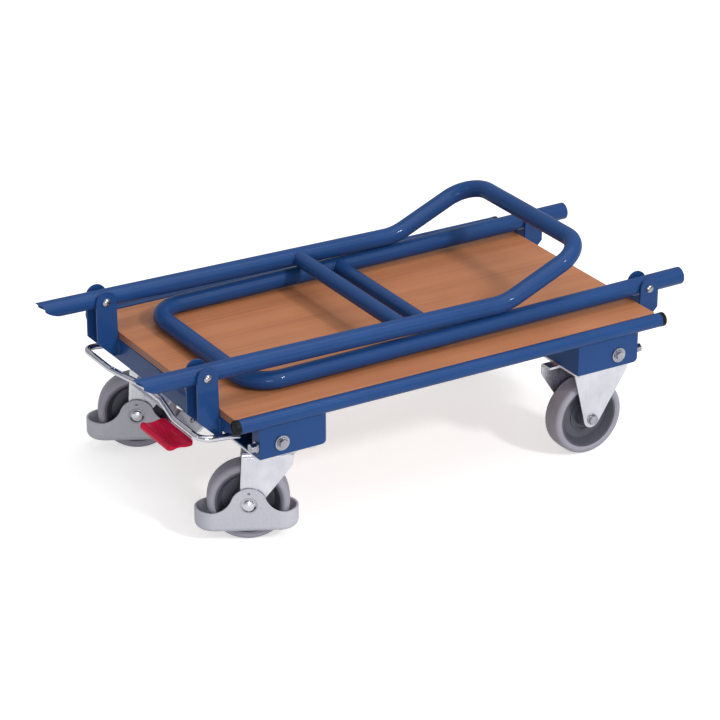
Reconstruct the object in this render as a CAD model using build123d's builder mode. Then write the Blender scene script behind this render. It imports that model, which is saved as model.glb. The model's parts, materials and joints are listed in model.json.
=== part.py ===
"""Folding platform trolley: a board in a tube frame on four castors, with two handles folded over it.

Millimetres. The origin is on the floor under the middle of the platform. +X runs along the trolley to
the rigid castors (the rear), +Y to the far side, +Z up. The front, with the swivel castors, is at -X.
"""

import os
from math import asin, atan2, cos, radians, sin, sqrt, tan

from build123d import *

# Platform
board_length = 750
board_thickness = 12
board_corner = 3
board_edge = 0.8
board_gap = 1
frame_rise = 56.5

# Side tubes and their end caps
tube_spacing = 470
tube_diameter = 22
tube_wall = 2
tube_overhang = 3
tube_rise = 3.5
cap_thickness = 3
cap_round = 1.8
cap_plug = 14
cap_fit = 0.2

# Angle irons across the two ends
angle_height = 37
angle_depth = 30
angle_sheet = 3
angle_proud = 1
angle_notch_gap = 2.5
angle_notch_step = 15
angle_notch_rise = 26

# Handles
handle_diameter = 28
handle_wall = 2
leg_spacing = 324
bend_radius = 50
cross_diameter = 25
cope_gap = 0.2
rest_gap = 0.4
lower_end_gap = 84.8
lower_tail = 71.5
lower_cross_at = 370
upper_kink_at = 529
upper_kink_angle = 24
upper_kink_radius = 90
upper_flight = 160
upper_cross_at = 345
upper_tail = 109
tongue_tip = 1
tongue_length = 9.5
tongue_depth = 6.6
throat_length = 15.5
throat_depth = 18
upper_scoop = 36

# Handle posts and pivots
post_sheet = 4
leg_side_gap = 1
ear_radius = 17
ear_rise = 10
ear_slant = 26
web_gap = 0.4
web_height = 35
lower_pivot_rise = 7
upper_pivot_rise = 4.5
pivot_diameter = 8
pivot_head_radius = 6.5
pivot_head = 4.5
pivot_head_rim = 1.5
pivot_nut = 6.5
pivot_nut_across = 13
running_fit = 0.06

# Castor boxes and their bolts
box_length = 112
box_width = 112
box_sheet = 3
box_bend = 7
box_flange = 20
box_tab = 20
front_box_in = 90
rear_box_in = 97
weld_gap = 0.3
side_bolt_out = 19
side_bolt_rise = 20
side_bolt_diameter = 8
side_washer_radius = 12
side_washer = 2.5
end_bolt_in = 7
end_bolt_rise = 17.5
end_bolt_head = 11
end_bolt_length = 17
hex_across = 13
hex_head = 5.5
hex_nut = 6.5
hex_flange_margin = 2.3
hex_flange = 1.5
bolt_end = 2

# Castor wheels
wheel_diameter = 125
wheel_headroom = 35
tyre_width = 37
tyre_depth = 12
tyre_shoulder = 7
tyre_crown = 0.7
tyre_lip = 3
tyre_bevel = 2
tyre_bond = 0.05
hub_width = 33
hub_rim = 3
hub_dish = 8
hub_web = 9
hub_ring_radius = 24
hub_ring_width = 3
hub_ring_rise = 1.5
hub_boss_radius = 15
hub_boss_flare = 3
boss_gap = 1

# Castor plates and forks
plate_length = 110
plate_width = 100
plate_sheet = 4
plate_corner = 8
plate_bolt_x = 82
plate_bolt_y = 76
plate_bolt_diameter = 8
fork_sheet = 3
fork_inside = 44
fork_bend = 6
fork_wing_radius = 18
fork_wing_drop = 14
fork_rib = 1.2
fork_rib_margin = 1.5
fork_rib_draft = 40
rigid_axle_back = 4.5
rigid_foot_radius = 14.5
rigid_top_back = 34
rigid_top_front = 65.5
swivel_foot_radius = 14
swivel_top_back = 9
swivel_top_front = 67
trail = 40
castor_turn = -28
axle_diameter = 10
axle_tube_wall = 2
axle_nut = 6
axle_nut_across = 15
rigid_head_across = 14
rigid_head = 6
swivel_head_radius = 8.2
swivel_head = 7
swivel_head_rim = 5
crown_radius = 36
crown_drop = 9
race_radius = 33
race_depth = 4
race_draft = 8
race_gap = 0.5
kingpin_radius = 9
kingpin_flange = 13
kingpin_head = 4

# Foot guards
guard_toe = 15.5
guard_back = 3
guard_wall = 3.6
guard_gap = 0.3
guard_low = 18
guard_dip = 12.5
guard_arch = 27.5
guard_sweep = 34
guard_edge = 9
guard_draft = 32
guard_recess_radius = 12.7
guard_recess = 1.2
guard_hole_radius = 10.2
guard_hole_drop = 1.2
guard_screw_rise = 20
guard_screw_radius = 2

# Lock bail
bail_diameter = 10
bail_arm_in = 10.5
bail_out = 38
bail_bow = 17
bail_front_rise = 12
bail_corner_radius = 20
bail_bow_far = 100
bail_bow_near = 110
bail_bow_run = 75
bail_bow_radius = 60
bail_eye_radius = 9
bail_eye_width = 12
bail_eye_bite = 2

# Brake
shaft_in = 33
shaft_rise = 18
shaft_diameter = 12
shaft_end = 24.5
finger_width = 14
finger_sheet = 5
finger_toe = 1
plunger_radius = 6
plunger_tip_radius = 3
plunger_tip = 4
plunger_gap = 0.9
plunger_fit = 0.1
plunger_travel = 5
plunger_clear = 0.56
lever_width = 64
lever_y = -88
lever_sheet = 4
lever_drop = 2
lever_in = 4
lever_slope = 39
lever_toe = 8
pedal_out = 61
pedal_width = 96
pedal_y = -85
pedal_sheet = 5
pedal_bead = 5
pedal_corner = 9
pedal_drop = 19
bracket_near_y = -20
bracket_far_y = 85
bracket_sheet = 3
bracket_out = 17
bracket_head_gap = 9

# Heights and lanes that follow from those sizes
wheel_radius = wheel_diameter / 2
castor_height = wheel_diameter + wheel_headroom
plate_bottom = castor_height - plate_sheet
board_bottom = castor_height + frame_rise
deck_height = board_bottom + board_thickness
tube_radius = tube_diameter / 2
tube_z = deck_height + tube_rise - tube_radius
tube_length = board_length + 2 * tube_overhang
board_width = tube_spacing - tube_diameter - 2 * board_gap
end_face = board_length / 2 + angle_proud
angle_bottom = board_bottom - angle_height
post_bottom = angle_bottom + ear_rise
handle_radius = handle_diameter / 2
lane = leg_spacing / 2
pivot_x = end_face + post_sheet + web_gap + handle_radius
lower_pivot_z = deck_height + handle_radius + lower_pivot_rise
upper_pivot_z = lower_pivot_z + handle_diameter + upper_pivot_rise
lower_reach = 2 * pivot_x - lower_end_gap
front_box_x = -(board_length / 2 - front_box_in)
rear_box_x = board_length / 2 - rear_box_in
box_centre_y = (tube_spacing + box_sheet - box_width) / 2
box_wall_top = tube_z - tube_radius - weld_gap
side_bolt_z = castor_height + side_bolt_rise
end_bolt_y = box_centre_y + box_width / 2 - box_sheet - end_bolt_in
end_bolt_z = castor_height + end_bolt_rise

# Castor sizes that follow
hub_radius = wheel_radius - tyre_depth
leg_out = fork_inside / 2 + fork_sheet
axle_seat = leg_out + fork_rib
axle_radius = axle_diameter / 2
axle_tube_radius = axle_radius + axle_tube_wall
guard_length = wheel_diameter + 2 * guard_toe
guard_rim = wheel_radius - guard_dip
guard_inside = axle_seat + guard_gap
guard_outside = guard_inside + guard_wall

# Bail and brake sizes that follow
bail_arm_y = box_centre_y + bail_arm_in
bail_front_x = -(end_face + bail_out)
bail_bow_x = bail_front_x + bail_bow
angle_notch_y = board_width / 2 - bail_arm_y + bail_diameter / 2 + angle_notch_gap
shaft_x = front_box_x + shaft_in
shaft_z = castor_height + shaft_rise
shaft_radius = shaft_diameter / 2
shaft_length = 2 * (box_centre_y + shaft_end)
tyre_top_at_plunger = wheel_radius + sqrt(wheel_radius**2 - (trail - plunger_radius) ** 2)
plunger_low = tyre_top_at_plunger + plunger_travel + plunger_clear
lever_bend_x = lever_in - end_face
pedal_front_x = -(end_face + pedal_out)
pedal_top = shaft_z - pedal_drop

# Rest angles: the lower handle lies on the board, and the upper one on the lower one at its kink
lower_rest = asin((lower_pivot_z - deck_height - handle_radius - rest_gap) / lower_reach)
kink_x = upper_kink_at - pivot_x
lower_z_at_kink = lower_pivot_z - (pivot_x - kink_x) * tan(lower_rest)
upper_rest = asin((upper_pivot_z - lower_z_at_kink - handle_diameter - rest_gap) / upper_kink_at)

near_far = {"near": -1, "far": 1}
ends = {"front": -1, "rear": 1}
box_x = {"front": front_box_x, "rear": rear_box_x}
pivot_z = {"front": upper_pivot_z, "rear": lower_pivot_z}


def save(builder, label):
    """Labels a finished piece and writes it to its own file."""
    builder.part.label = label
    export_step(builder.part, f"parts/{label}.step")


def upright(base, v=0.0):
    """The vertical plane along a base plane's x direction, v to its far side, facing its near side."""
    return Plane(base.from_local_coords((0, v, 0)), x_dir=base.x_dir, z_dir=-base.y_dir)


def level(base, height):
    """The horizontal plane of a base plane at a height above the floor."""
    return Plane(base.from_local_coords((0, 0, height)), x_dir=base.x_dir, z_dir=base.z_dir)


def across(x, y, z):
    """A plane at a point that faces the near side, for round pieces that lie across the trolley."""
    return Plane((x, y, z), x_dir=(1, 0, 0), z_dir=(0, -1, 0))


def facing_far(x, y, z):
    """A plane at a point that faces the far side."""
    return Plane((x, y, z), x_dir=(1, 0, 0), z_dir=(0, 1, 0))


def facing_end(x, y, z, end):
    """A plane at a point that faces an end of the trolley, with its y direction up."""
    return Plane((x, y, z), x_dir=(0, end, 0), z_dir=(end, 0, 0))


def rigid_base(side):
    """The floor under a rigid castor's axle."""
    return Plane((rear_box_x - rigid_axle_back, side * box_centre_y, 0))


def swivel_base(side):
    """The floor under a swivel castor's kingpin, turned as the castor stands."""
    turn = radians(castor_turn)
    return Plane((front_box_x, side * box_centre_y, 0), x_dir=(cos(turn), sin(turn), 0), z_dir=(0, 0, 1))


def swivel_axle_base(side):
    """The floor under a swivel castor's axle."""
    base = swivel_base(side)
    return Plane(base.from_local_coords((-trail, 0, 0)), x_dir=base.x_dir, z_dir=base.z_dir)


def lower_plane():
    """The plane of the lower handle: x runs from its pivot along the legs, y across the trolley."""
    return Plane(
        (pivot_x, 0, lower_pivot_z),
        x_dir=(-cos(lower_rest), 0, -sin(lower_rest)),
        z_dir=(-sin(lower_rest), 0, cos(lower_rest)),
    )


def upper_plane():
    """The plane of the upper handle's legs: x runs from its pivot along them, y across the trolley."""
    return Plane(
        (-pivot_x, 0, upper_pivot_z),
        x_dir=(cos(upper_rest), 0, -sin(upper_rest)),
        z_dir=(sin(upper_rest), 0, cos(upper_rest)),
    )


def deck_board():
    """The wooden board, with rounded corners and a broken top edge."""
    with BuildPart() as board:
        with BuildSketch(Plane((0, 0, board_bottom))):
            RectangleRounded(board_length, board_width, board_corner)
        extrude(amount=board_thickness)
        chamfer(board.faces().sort_by(Axis.Z)[-1].edges(), board_edge)
    save(board, "deck_board")


def side_tubes():
    """The two tubes along the long sides of the board."""
    for name, side in near_far.items():
        with BuildPart() as tube:
            with BuildSketch(Plane((-tube_length / 2, side * tube_spacing / 2, tube_z), z_dir=(1, 0, 0))):
                Circle(tube_radius)
                Circle(tube_radius - tube_wall, mode=Mode.SUBTRACT)
            extrude(amount=tube_length)
        save(tube, f"side_tube_{name}")


def tube_end_caps():
    """The four plugs in the ends of the side tubes."""
    with BuildPart() as caps:
        for end in ends.values():
            for side in near_far.values():
                face = Plane((end * tube_length / 2, side * tube_spacing / 2, tube_z), z_dir=(end, 0, 0))
                with BuildSketch(face):
                    Circle(tube_radius)
                extrude(amount=cap_thickness)
                with BuildSketch(face):
                    Circle(tube_radius - tube_wall - cap_fit)
                extrude(amount=-cap_plug)
        rims = caps.edges().filter_by(GeomType.CIRCLE).sort_by(lambda e: abs(e.center().X))[-4:]
        fillet(rims, cap_round)
    save(caps, "tube_end_caps")


def end_angles():
    """The angle irons under the ends of the board, notched at both ends for the arms of the bail."""
    for name, end in ends.items():
        with BuildPart() as angle:
            section_plane = Plane((0, board_width / 2, 0), x_dir=(end, 0, 0), z_dir=(0, -end, 0))
            with BuildSketch(section_plane) as section:
                with BuildLine():
                    Polyline(
                        (end_face - angle_depth, board_bottom),
                        (end_face, board_bottom),
                        (end_face, angle_bottom),
                        (end_face - angle_sheet, angle_bottom),
                        (end_face - angle_sheet, board_bottom - angle_sheet),
                        (end_face - angle_depth, board_bottom - angle_sheet),
                        close=True,
                    )
                make_face()
                heel = (end_face - angle_sheet, board_bottom - angle_sheet, 0)
                fillet(section.vertices().sort_by_distance(heel)[0], angle_sheet)
            extrude(amount=end * board_width)
            with BuildSketch(facing_end(end * end_face, 0, angle_bottom, end)):
                for side in near_far.values():
                    edge = end * side * board_width / 2
                    inward = edge - end * side * angle_notch_y
                    Polygon(
                        (edge, 0),
                        (inward, 0),
                        (inward, angle_notch_step),
                        (edge, angle_notch_rise),
                        align=None,
                    )
            extrude(amount=-angle_sheet, mode=Mode.SUBTRACT)
        save(angle, f"end_angle_{name}")


def hex_bolts(label, seats, across_flats, head, diameter, length):
    """A group of hexagon flange bolts, each with its head outside its seat and its shank inside."""
    with BuildPart() as group:
        for seat in seats:
            with BuildSketch(seat):
                Circle(across_flats / 2 + hex_flange_margin)
            extrude(amount=hex_flange)
            with BuildSketch(seat):
                RegularPolygon(across_flats / 2, 6, major_radius=False)
            extrude(amount=head)
            with BuildSketch(seat):
                Circle(diameter / 2 - running_fit)
            extrude(amount=-length)
    save(group, label)


def domed_bolts(label, seats, head_radius, head, rim, diameter, length):
    """A group of bolts with domed heads that stand rim high at their edge."""
    with BuildPart() as group:
        for seat in seats:
            with BuildSketch(Plane(seat.origin, x_dir=seat.x_dir, z_dir=-seat.y_dir)):
                with BuildLine():
                    dome = TangentArc((0, head), (head_radius, rim), tangent=(1, 0))
                    Polyline(dome @ 1, (head_radius, 0), (0, 0), dome @ 0)
                make_face()
            revolve(axis=Axis(seat.origin, seat.z_dir))
            with BuildSketch(seat):
                Circle(diameter / 2 - running_fit)
            extrude(amount=-length)
    save(group, label)


def hex_nuts(label, seats, across_flats, height, diameter):
    """A group of hexagon nuts, each outside its seat."""
    with BuildPart() as group:
        for seat in seats:
            with BuildSketch(seat):
                RegularPolygon(across_flats / 2, 6, major_radius=False)
                Circle(diameter / 2, mode=Mode.SUBTRACT)
            extrude(amount=height)
    save(group, label)


def handle_posts():
    """The four U-shaped posts that hold the legs of the handles between two ears."""
    half_gap = handle_radius + leg_side_gap
    outer = pivot_x + ear_radius
    for end_name, end in ends.items():
        pivot = pivot_z[end_name]
        for side_name, side in near_far.items():
            middle = side * lane
            with BuildPart() as post:
                for ear in (-1, 1):
                    with BuildSketch(Plane.XZ.offset(-(middle + ear * half_gap))):
                        with Locations((end * pivot_x, pivot)):
                            Circle(ear_radius)
                        Polygon(
                            (end * end_face, board_bottom),
                            (end * end_face, post_bottom),
                            (end * (outer - ear_slant), post_bottom),
                            (end * outer, post_bottom + ear_slant),
                            align=None,
                        )
                        make_hull()
                    extrude(amount=-ear * post_sheet)
                with BuildSketch(facing_end(end * end_face, middle, post_bottom, end)):
                    Rectangle(2 * half_gap + post_sheet, web_height, align=(Align.CENTER, Align.MIN))
                extrude(amount=post_sheet)
                with BuildSketch(across(end * pivot_x, middle + half_gap + post_sheet, pivot)):
                    Circle(pivot_diameter / 2)
                extrude(amount=2 * (half_gap + post_sheet), mode=Mode.SUBTRACT)
            save(post, f"handle_post_{end_name}_{side_name}")


def pivot_fasteners():
    """The bolts and nuts that the handles turn on."""
    reach = handle_radius + leg_side_gap + post_sheet
    length = 2 * reach + pivot_nut + bolt_end
    near_seats = []
    far_seats = []
    for end_name, end in ends.items():
        for side in near_far.values():
            near_seats.append(across(end * pivot_x, side * lane - reach, pivot_z[end_name]))
            far_seats.append(facing_far(end * pivot_x, side * lane + reach, pivot_z[end_name]))
    heads = (pivot_head_radius, pivot_head, pivot_head_rim)
    domed_bolts("pivot_bolts", near_seats, *heads, pivot_diameter, length)
    hex_nuts("pivot_nuts", far_seats, pivot_nut_across, pivot_nut, pivot_diameter)


def runs(points, radii):
    """Splits a bent centre line into its straight runs and its bends.

    A run is (start, heading, length), and a bend is (start, heading, axis, angle).
    """
    spots = [Vector(point) for point in points]
    straights = []
    bends = []
    start = spots[0]
    for before, corner, after, radius in zip(spots, spots[1:], spots[2:], radii):
        heading = (corner - before).normalized()
        leaving = (after - corner).normalized()
        angle = heading.get_angle(leaving)
        cut = radius * tan(radians(angle) / 2)
        stop = corner - heading * cut
        normal = heading.cross(leaving).normalized()
        centre = stop + normal.cross(heading) * radius
        straights.append((start, heading, (stop - start).length))
        bends.append((stop, heading, Axis(centre, normal), angle))
        start = corner + leaving * cut
    straights.append((start, leaving, (spots[-1] - start).length))
    return straights, bends


def lower_handle():
    """The handle that lies on the board: a U of tube with its loop at the front and open tails."""
    base = lower_plane()
    corners = ((-lower_tail, -lane), (lower_reach, -lane), (lower_reach, lane), (-lower_tail, lane))
    straights, bends = runs([base.from_local_coords((*c, 0)) for c in corners], [bend_radius] * 2)
    with BuildPart() as tube:
        for start, heading, length in straights:
            with BuildSketch(Plane(start, z_dir=heading)):
                Circle(handle_radius)
                Circle(handle_radius - handle_wall, mode=Mode.SUBTRACT)
            extrude(amount=length)
        for start, heading, axis, angle in bends:
            with BuildSketch(Plane(start, z_dir=heading)):
                Circle(handle_radius)
                Circle(handle_radius - handle_wall, mode=Mode.SUBTRACT)
            revolve(axis=axis, revolution_arc=angle)
        with BuildSketch(across(pivot_x, lane + handle_diameter, lower_pivot_z)):
            Circle(pivot_diameter / 2)
        extrude(amount=leg_spacing + 2 * handle_diameter, mode=Mode.SUBTRACT)
    save(tube, "lower_handle_tube")


def upper_handle():
    """The handle that lies on top: its grip is kinked up, and its tails are scooped to a tongue."""
    base = upper_plane()
    kink = radians(upper_kink_angle)
    end_x = upper_kink_at + upper_flight * cos(kink)
    end_z = upper_flight * sin(kink)
    near_leg = ((-upper_tail, -lane, 0), (upper_kink_at, -lane, 0), (end_x, -lane, end_z))
    far_leg = ((end_x, lane, end_z), (upper_kink_at, lane, 0), (-upper_tail, lane, 0))
    radii = [upper_kink_radius, bend_radius, bend_radius, upper_kink_radius]
    straights, bends = runs([base.from_local_coords(c) for c in near_leg + far_leg], radii)
    with BuildPart() as tube:
        for start, heading, length in straights:
            with BuildSketch(Plane(start, z_dir=heading)):
                Circle(handle_radius)
                Circle(handle_radius - handle_wall, mode=Mode.SUBTRACT)
            extrude(amount=length)
        for start, heading, axis, angle in bends:
            with BuildSketch(Plane(start, z_dir=heading)):
                Circle(handle_radius)
                Circle(handle_radius - handle_wall, mode=Mode.SUBTRACT)
            revolve(axis=axis, revolution_arc=angle)
        with BuildSketch(upright(base, lane + handle_diameter)):
            with BuildLine():
                scoop = Spline(
                    (-upper_tail, handle_radius - tongue_tip),
                    (-upper_tail + tongue_length, handle_radius - tongue_depth),
                    (-upper_tail + throat_length, handle_radius - throat_depth),
                    (-upper_tail + upper_scoop, -handle_radius),
                )
                Polyline(
                    scoop @ 1,
                    (-upper_tail + upper_scoop, -handle_diameter),
                    (-upper_tail - upper_scoop, -handle_diameter),
                    (-upper_tail - upper_scoop, handle_radius - tongue_tip),
                    scoop @ 0,
                )
            make_face()
            Circle(pivot_diameter / 2)
        extrude(amount=leg_spacing + 2 * handle_diameter, mode=Mode.SUBTRACT)
    save(tube, "upper_handle_tube")


def crossbar(label, base, at):
    """A round bar between the legs of a handle, with ends hollowed to lie around them."""
    with BuildPart() as bar:
        with BuildSketch(upright(base, lane)):
            with Locations((at, 0)):
                Circle(cross_diameter / 2)
                Circle(cross_diameter / 2 - handle_wall, mode=Mode.SUBTRACT)
        extrude(amount=leg_spacing)
        for side in near_far.values():
            start = base.from_local_coords((at - cross_diameter, side * lane, 0))
            with BuildSketch(Plane(start, z_dir=base.x_dir)):
                Circle(handle_radius + cope_gap)
            extrude(amount=2 * cross_diameter, mode=Mode.SUBTRACT)
    save(bar, label)


def castor_boxes():
    """The four boxes of folded sheet under the side tubes that carry the castors."""
    wall_rise = box_wall_top + 2 * weld_gap - castor_height
    full_rise = board_bottom - castor_height
    half = box_length / 2
    for end_name, end in ends.items():
        x = box_x[end_name]
        for side_name, side in near_far.items():
            y = side * box_centre_y
            inner_y = y - side * box_width / 2
            outer_y = y + side * box_width / 2
            with BuildPart() as box:
                with BuildSketch(across(x, y + box_width / 2, castor_height)) as strip:
                    with BuildLine():
                        Polyline(
                            (-half, 0),
                            (half, 0),
                            (half, full_rise),
                            (half - box_sheet, full_rise),
                            (half - box_sheet, box_sheet),
                            (-half, box_sheet),
                            close=True,
                        )
                    make_face()
                    corners = strip.vertices().sort_by_distance((half, 0, 0))
                    fillet(corners[0], box_bend)
                    corners = strip.vertices().sort_by_distance((half - box_sheet, box_sheet, 0))
                    fillet(corners[0], box_bend - box_sheet)
                extrude(amount=box_width)
                for wall_y, rise, inward in ((outer_y, wall_rise, side), (inner_y, full_rise, -side)):
                    with BuildSketch(across(x, wall_y, castor_height)) as wall:
                        Rectangle(box_length, rise, align=(Align.CENTER, Align.MIN))
                        fillet(wall.vertices().sort_by_distance((half, 0, 0))[0], box_bend)
                    extrude(amount=inward * box_sheet)
                with BuildSketch(Plane((x, inner_y, board_bottom))):
                    with Locations((0, -side * box_flange / 2)):
                        Rectangle(box_length, box_flange)
                extrude(amount=-box_sheet)
                if end_name == "front":
                    end_from = outer_y - side * (box_sheet + box_tab)
                else:
                    end_from = inner_y
                with BuildSketch(facing_end(x - half, (end_from + outer_y) / 2, castor_height, 1)):
                    Rectangle(abs(outer_y - end_from), full_rise, align=(Align.CENTER, Align.MIN))
                extrude(amount=box_sheet)
                with BuildSketch(Plane((x - half, side * tube_spacing / 2, tube_z), z_dir=(1, 0, 0))):
                    Circle(tube_radius + weld_gap)
                extrude(amount=box_length, mode=Mode.SUBTRACT)
                with BuildSketch(across(x + end * side_bolt_out, y + box_width / 2, side_bolt_z)):
                    Circle(side_bolt_diameter / 2)
                extrude(amount=box_width, mode=Mode.SUBTRACT)
                with BuildSketch(Plane((x + end * half, end_bolt_y * side, end_bolt_z), z_dir=(end, 0, 0))):
                    Circle(side_bolt_diameter / 2)
                extrude(amount=-box_sheet, mode=Mode.SUBTRACT)
                with BuildSketch(Plane((x, y, castor_height))):
                    with GridLocations(plate_bolt_x, plate_bolt_y, 2, 2):
                        Circle(plate_bolt_diameter / 2)
                    if end_name == "front":
                        Circle(kingpin_flange + kingpin_head)
                extrude(amount=box_sheet, mode=Mode.SUBTRACT)
                if end_name == "front":
                    with BuildSketch(across(shaft_x, inner_y, shaft_z)):
                        Circle(shaft_radius + running_fit)
                    extrude(amount=-side * box_sheet, mode=Mode.SUBTRACT)
            save(box, f"castor_box_{end_name}_{side_name}")


def box_fasteners():
    """The bolts, nuts and washers on the castor boxes."""
    side_seats = []
    washer_seats = []
    nut_seats = []
    end_seats = []
    plate_seats = []
    plate_nut_seats = []
    for end_name, end in ends.items():
        x = box_x[end_name]
        for side in near_far.values():
            bolt_x = x + end * side_bolt_out
            outer_y = side * (box_centre_y + box_width / 2)
            inside_y = side * (box_centre_y - box_width / 2 + box_sheet)
            outward = (0, side, 0)
            washer_seats.append(Plane((bolt_x, outer_y, side_bolt_z), z_dir=outward))
            side_seats.append(Plane((bolt_x, outer_y + side * side_washer, side_bolt_z), z_dir=outward))
            nut_seats.append(Plane((bolt_x, inside_y, side_bolt_z), z_dir=outward))
            end_spot = (x + end * box_length / 2, side * end_bolt_y, end_bolt_z)
            end_seats.append(Plane(end_spot, z_dir=(end, 0, 0)))
            for dx in (-plate_bolt_x / 2, plate_bolt_x / 2):
                for dy in (-plate_bolt_y / 2, plate_bolt_y / 2):
                    spot = (x + dx, side * box_centre_y + dy)
                    plate_seats.append(Plane((*spot, plate_bottom), z_dir=(0, 0, -1)))
                    plate_nut_seats.append(Plane((*spot, castor_height + box_sheet)))
    side_length = side_washer + box_width + bolt_end
    plate_bolt_length = plate_sheet + box_sheet + hex_nut + bolt_end
    hex_bolts("box_side_bolts", side_seats, hex_across, hex_head, side_bolt_diameter, side_length)
    hex_nuts("box_side_nuts", nut_seats, hex_across, hex_nut, side_bolt_diameter)
    hex_bolts("box_end_bolts", end_seats, hex_across, end_bolt_head, side_bolt_diameter, end_bolt_length)
    hex_bolts("castor_plate_bolts", plate_seats, hex_across, hex_head, plate_bolt_diameter, plate_bolt_length)
    hex_nuts("castor_plate_nuts", plate_nut_seats, hex_across, hex_nut, plate_bolt_diameter)
    with BuildPart() as washers:
        for seat in washer_seats:
            with BuildSketch(seat):
                Circle(side_washer_radius)
                Circle(side_bolt_diameter / 2, mode=Mode.SUBTRACT)
            extrude(amount=side_washer)
    save(washers, "box_side_washers")


def fork_body(base, crown_top, foot, back, front, far_lean):
    """The pressed sheet of a fork: two legs, each with a raised strip, bent down from one crown.

    The base is the floor under the axle, foot the radius of a leg's lower end, and back and front the
    widths of its top on both sides of the axle. A far_lean of -1 turns the far leg's outline round.
    """
    legs = ((-1, 1), (1, far_lean))
    wing = front - fork_wing_radius
    strip_back = min(foot, back) - fork_rib_margin
    with BuildPart() as body:
        for v, lean in legs:
            with BuildSketch(upright(base)):
                with Locations((0, wheel_radius)):
                    Circle(foot)
                with Locations((lean * wing, crown_top - fork_wing_drop)):
                    Circle(fork_wing_radius)
                with Locations((lean * (front - back) / 2, crown_top)):
                    Rectangle(front + back, fork_wing_drop, align=(Align.CENTER, Align.MAX))
                make_hull()
            extrude(amount=-v * leg_out)
        section_plane = Plane(base.origin, x_dir=base.y_dir, z_dir=base.x_dir)
        with BuildSketch(section_plane) as section:
            Rectangle(2 * leg_out, crown_top, align=(Align.CENTER, Align.MIN))
            fillet(section.vertices().group_by(Axis.Y)[-1], fork_bend)
        extrude(amount=2 * front, both=True, mode=Mode.INTERSECT)
        with BuildSketch(section_plane) as hollow:
            Rectangle(fork_inside, crown_top - plate_sheet, align=(Align.CENTER, Align.MIN))
            fillet(hollow.vertices().group_by(Axis.Y)[-1], fork_bend - fork_sheet)
        extrude(amount=2 * front, both=True, mode=Mode.SUBTRACT)
        for v, lean in legs:
            with BuildSketch(upright(base, v * leg_out)):
                with Locations((0, wheel_radius)):
                    Circle(foot - fork_rib_margin)
                with Locations((lean * (foot - strip_back) / 2, crown_top - fork_bend)):
                    Rectangle(foot + strip_back, fork_bend, align=(Align.CENTER, Align.MAX))
                make_hull()
            extrude(amount=-v * fork_rib, taper=fork_rib_draft)
        with BuildSketch(upright(base, axle_seat)):
            with Locations((0, wheel_radius)):
                Circle(axle_radius)
        extrude(amount=2 * axle_seat, mode=Mode.SUBTRACT)
    return body.part


def rigid_forks():
    """The forks of the rear castors, welded under their bolt plates; their two legs lean opposite ways."""
    for name, side in near_far.items():
        base = rigid_base(side)
        with BuildPart() as fork:
            with BuildSketch(level(base, plate_bottom)):
                with Locations((rigid_axle_back, 0)):
                    RectangleRounded(plate_length, plate_width, plate_corner)
                    with GridLocations(plate_bolt_x, plate_bolt_y, 2, 2):
                        Circle(plate_bolt_diameter / 2, mode=Mode.SUBTRACT)
            extrude(amount=plate_sheet)
            add(fork_body(base, plate_bottom, rigid_foot_radius, rigid_top_back, rigid_top_front, -1))
        save(fork, f"rigid_fork_{name}")


def swivel_plates():
    """The bolt plates of the front castors, each with the upper half of a ball race."""
    for name, side in near_far.items():
        base = Plane((front_box_x, side * box_centre_y, 0))
        with BuildPart() as plate:
            with BuildSketch(level(base, plate_bottom)):
                RectangleRounded(plate_length, plate_width, plate_corner)
                with GridLocations(plate_bolt_x, plate_bolt_y, 2, 2):
                    Circle(plate_bolt_diameter / 2, mode=Mode.SUBTRACT)
                Circle(kingpin_radius + running_fit, mode=Mode.SUBTRACT)
            extrude(amount=plate_sheet)
            with BuildSketch(level(base, plate_bottom)):
                Circle(race_radius)
                Circle(kingpin_radius + running_fit, mode=Mode.SUBTRACT)
            extrude(amount=-race_depth, taper=race_draft)
        save(plate, f"swivel_plate_{name}")


def swivel_forks():
    """The forks of the front castors, with the lower half of the ball race on a round crown."""
    crown_high = plate_bottom - crown_drop
    for name, side in near_far.items():
        base = swivel_base(side)
        legs = (swivel_foot_radius, swivel_top_back, swivel_top_front)
        with BuildPart() as fork:
            with BuildSketch(level(base, crown_high)):
                Circle(crown_radius)
            extrude(amount=-plate_sheet)
            with BuildSketch(level(base, crown_high)):
                Circle(race_radius)
            extrude(amount=crown_drop - race_depth - race_gap)
            add(fork_body(swivel_axle_base(side), crown_high, *legs, 1))
            with BuildSketch(level(base, plate_bottom)):
                Circle(kingpin_radius + running_fit)
            extrude(amount=-2 * crown_drop, mode=Mode.SUBTRACT)
        save(fork, f"swivel_fork_{name}")


def kingpins():
    """The hollow pins that the front castors turn on."""
    crown_low = plate_bottom - crown_drop - plate_sheet
    for name, side in near_far.items():
        base = Plane((front_box_x, side * box_centre_y, 0))
        with BuildPart() as pin:
            with BuildSketch(level(base, castor_height)):
                Circle(kingpin_flange)
            extrude(amount=kingpin_head)
            with BuildSketch(level(base, castor_height)):
                Circle(kingpin_radius)
            extrude(amount=crown_low - weld_gap - castor_height)
            with BuildSketch(level(base, crown_low - weld_gap)):
                Circle(kingpin_flange)
            extrude(amount=-kingpin_head)
            with BuildSketch(level(base, castor_height + kingpin_head)):
                Circle(plunger_radius + plunger_fit)
            extrude(amount=-(castor_height - crown_low + 3 * kingpin_head), mode=Mode.SUBTRACT)
        save(pin, f"kingpin_{name}")


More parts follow.
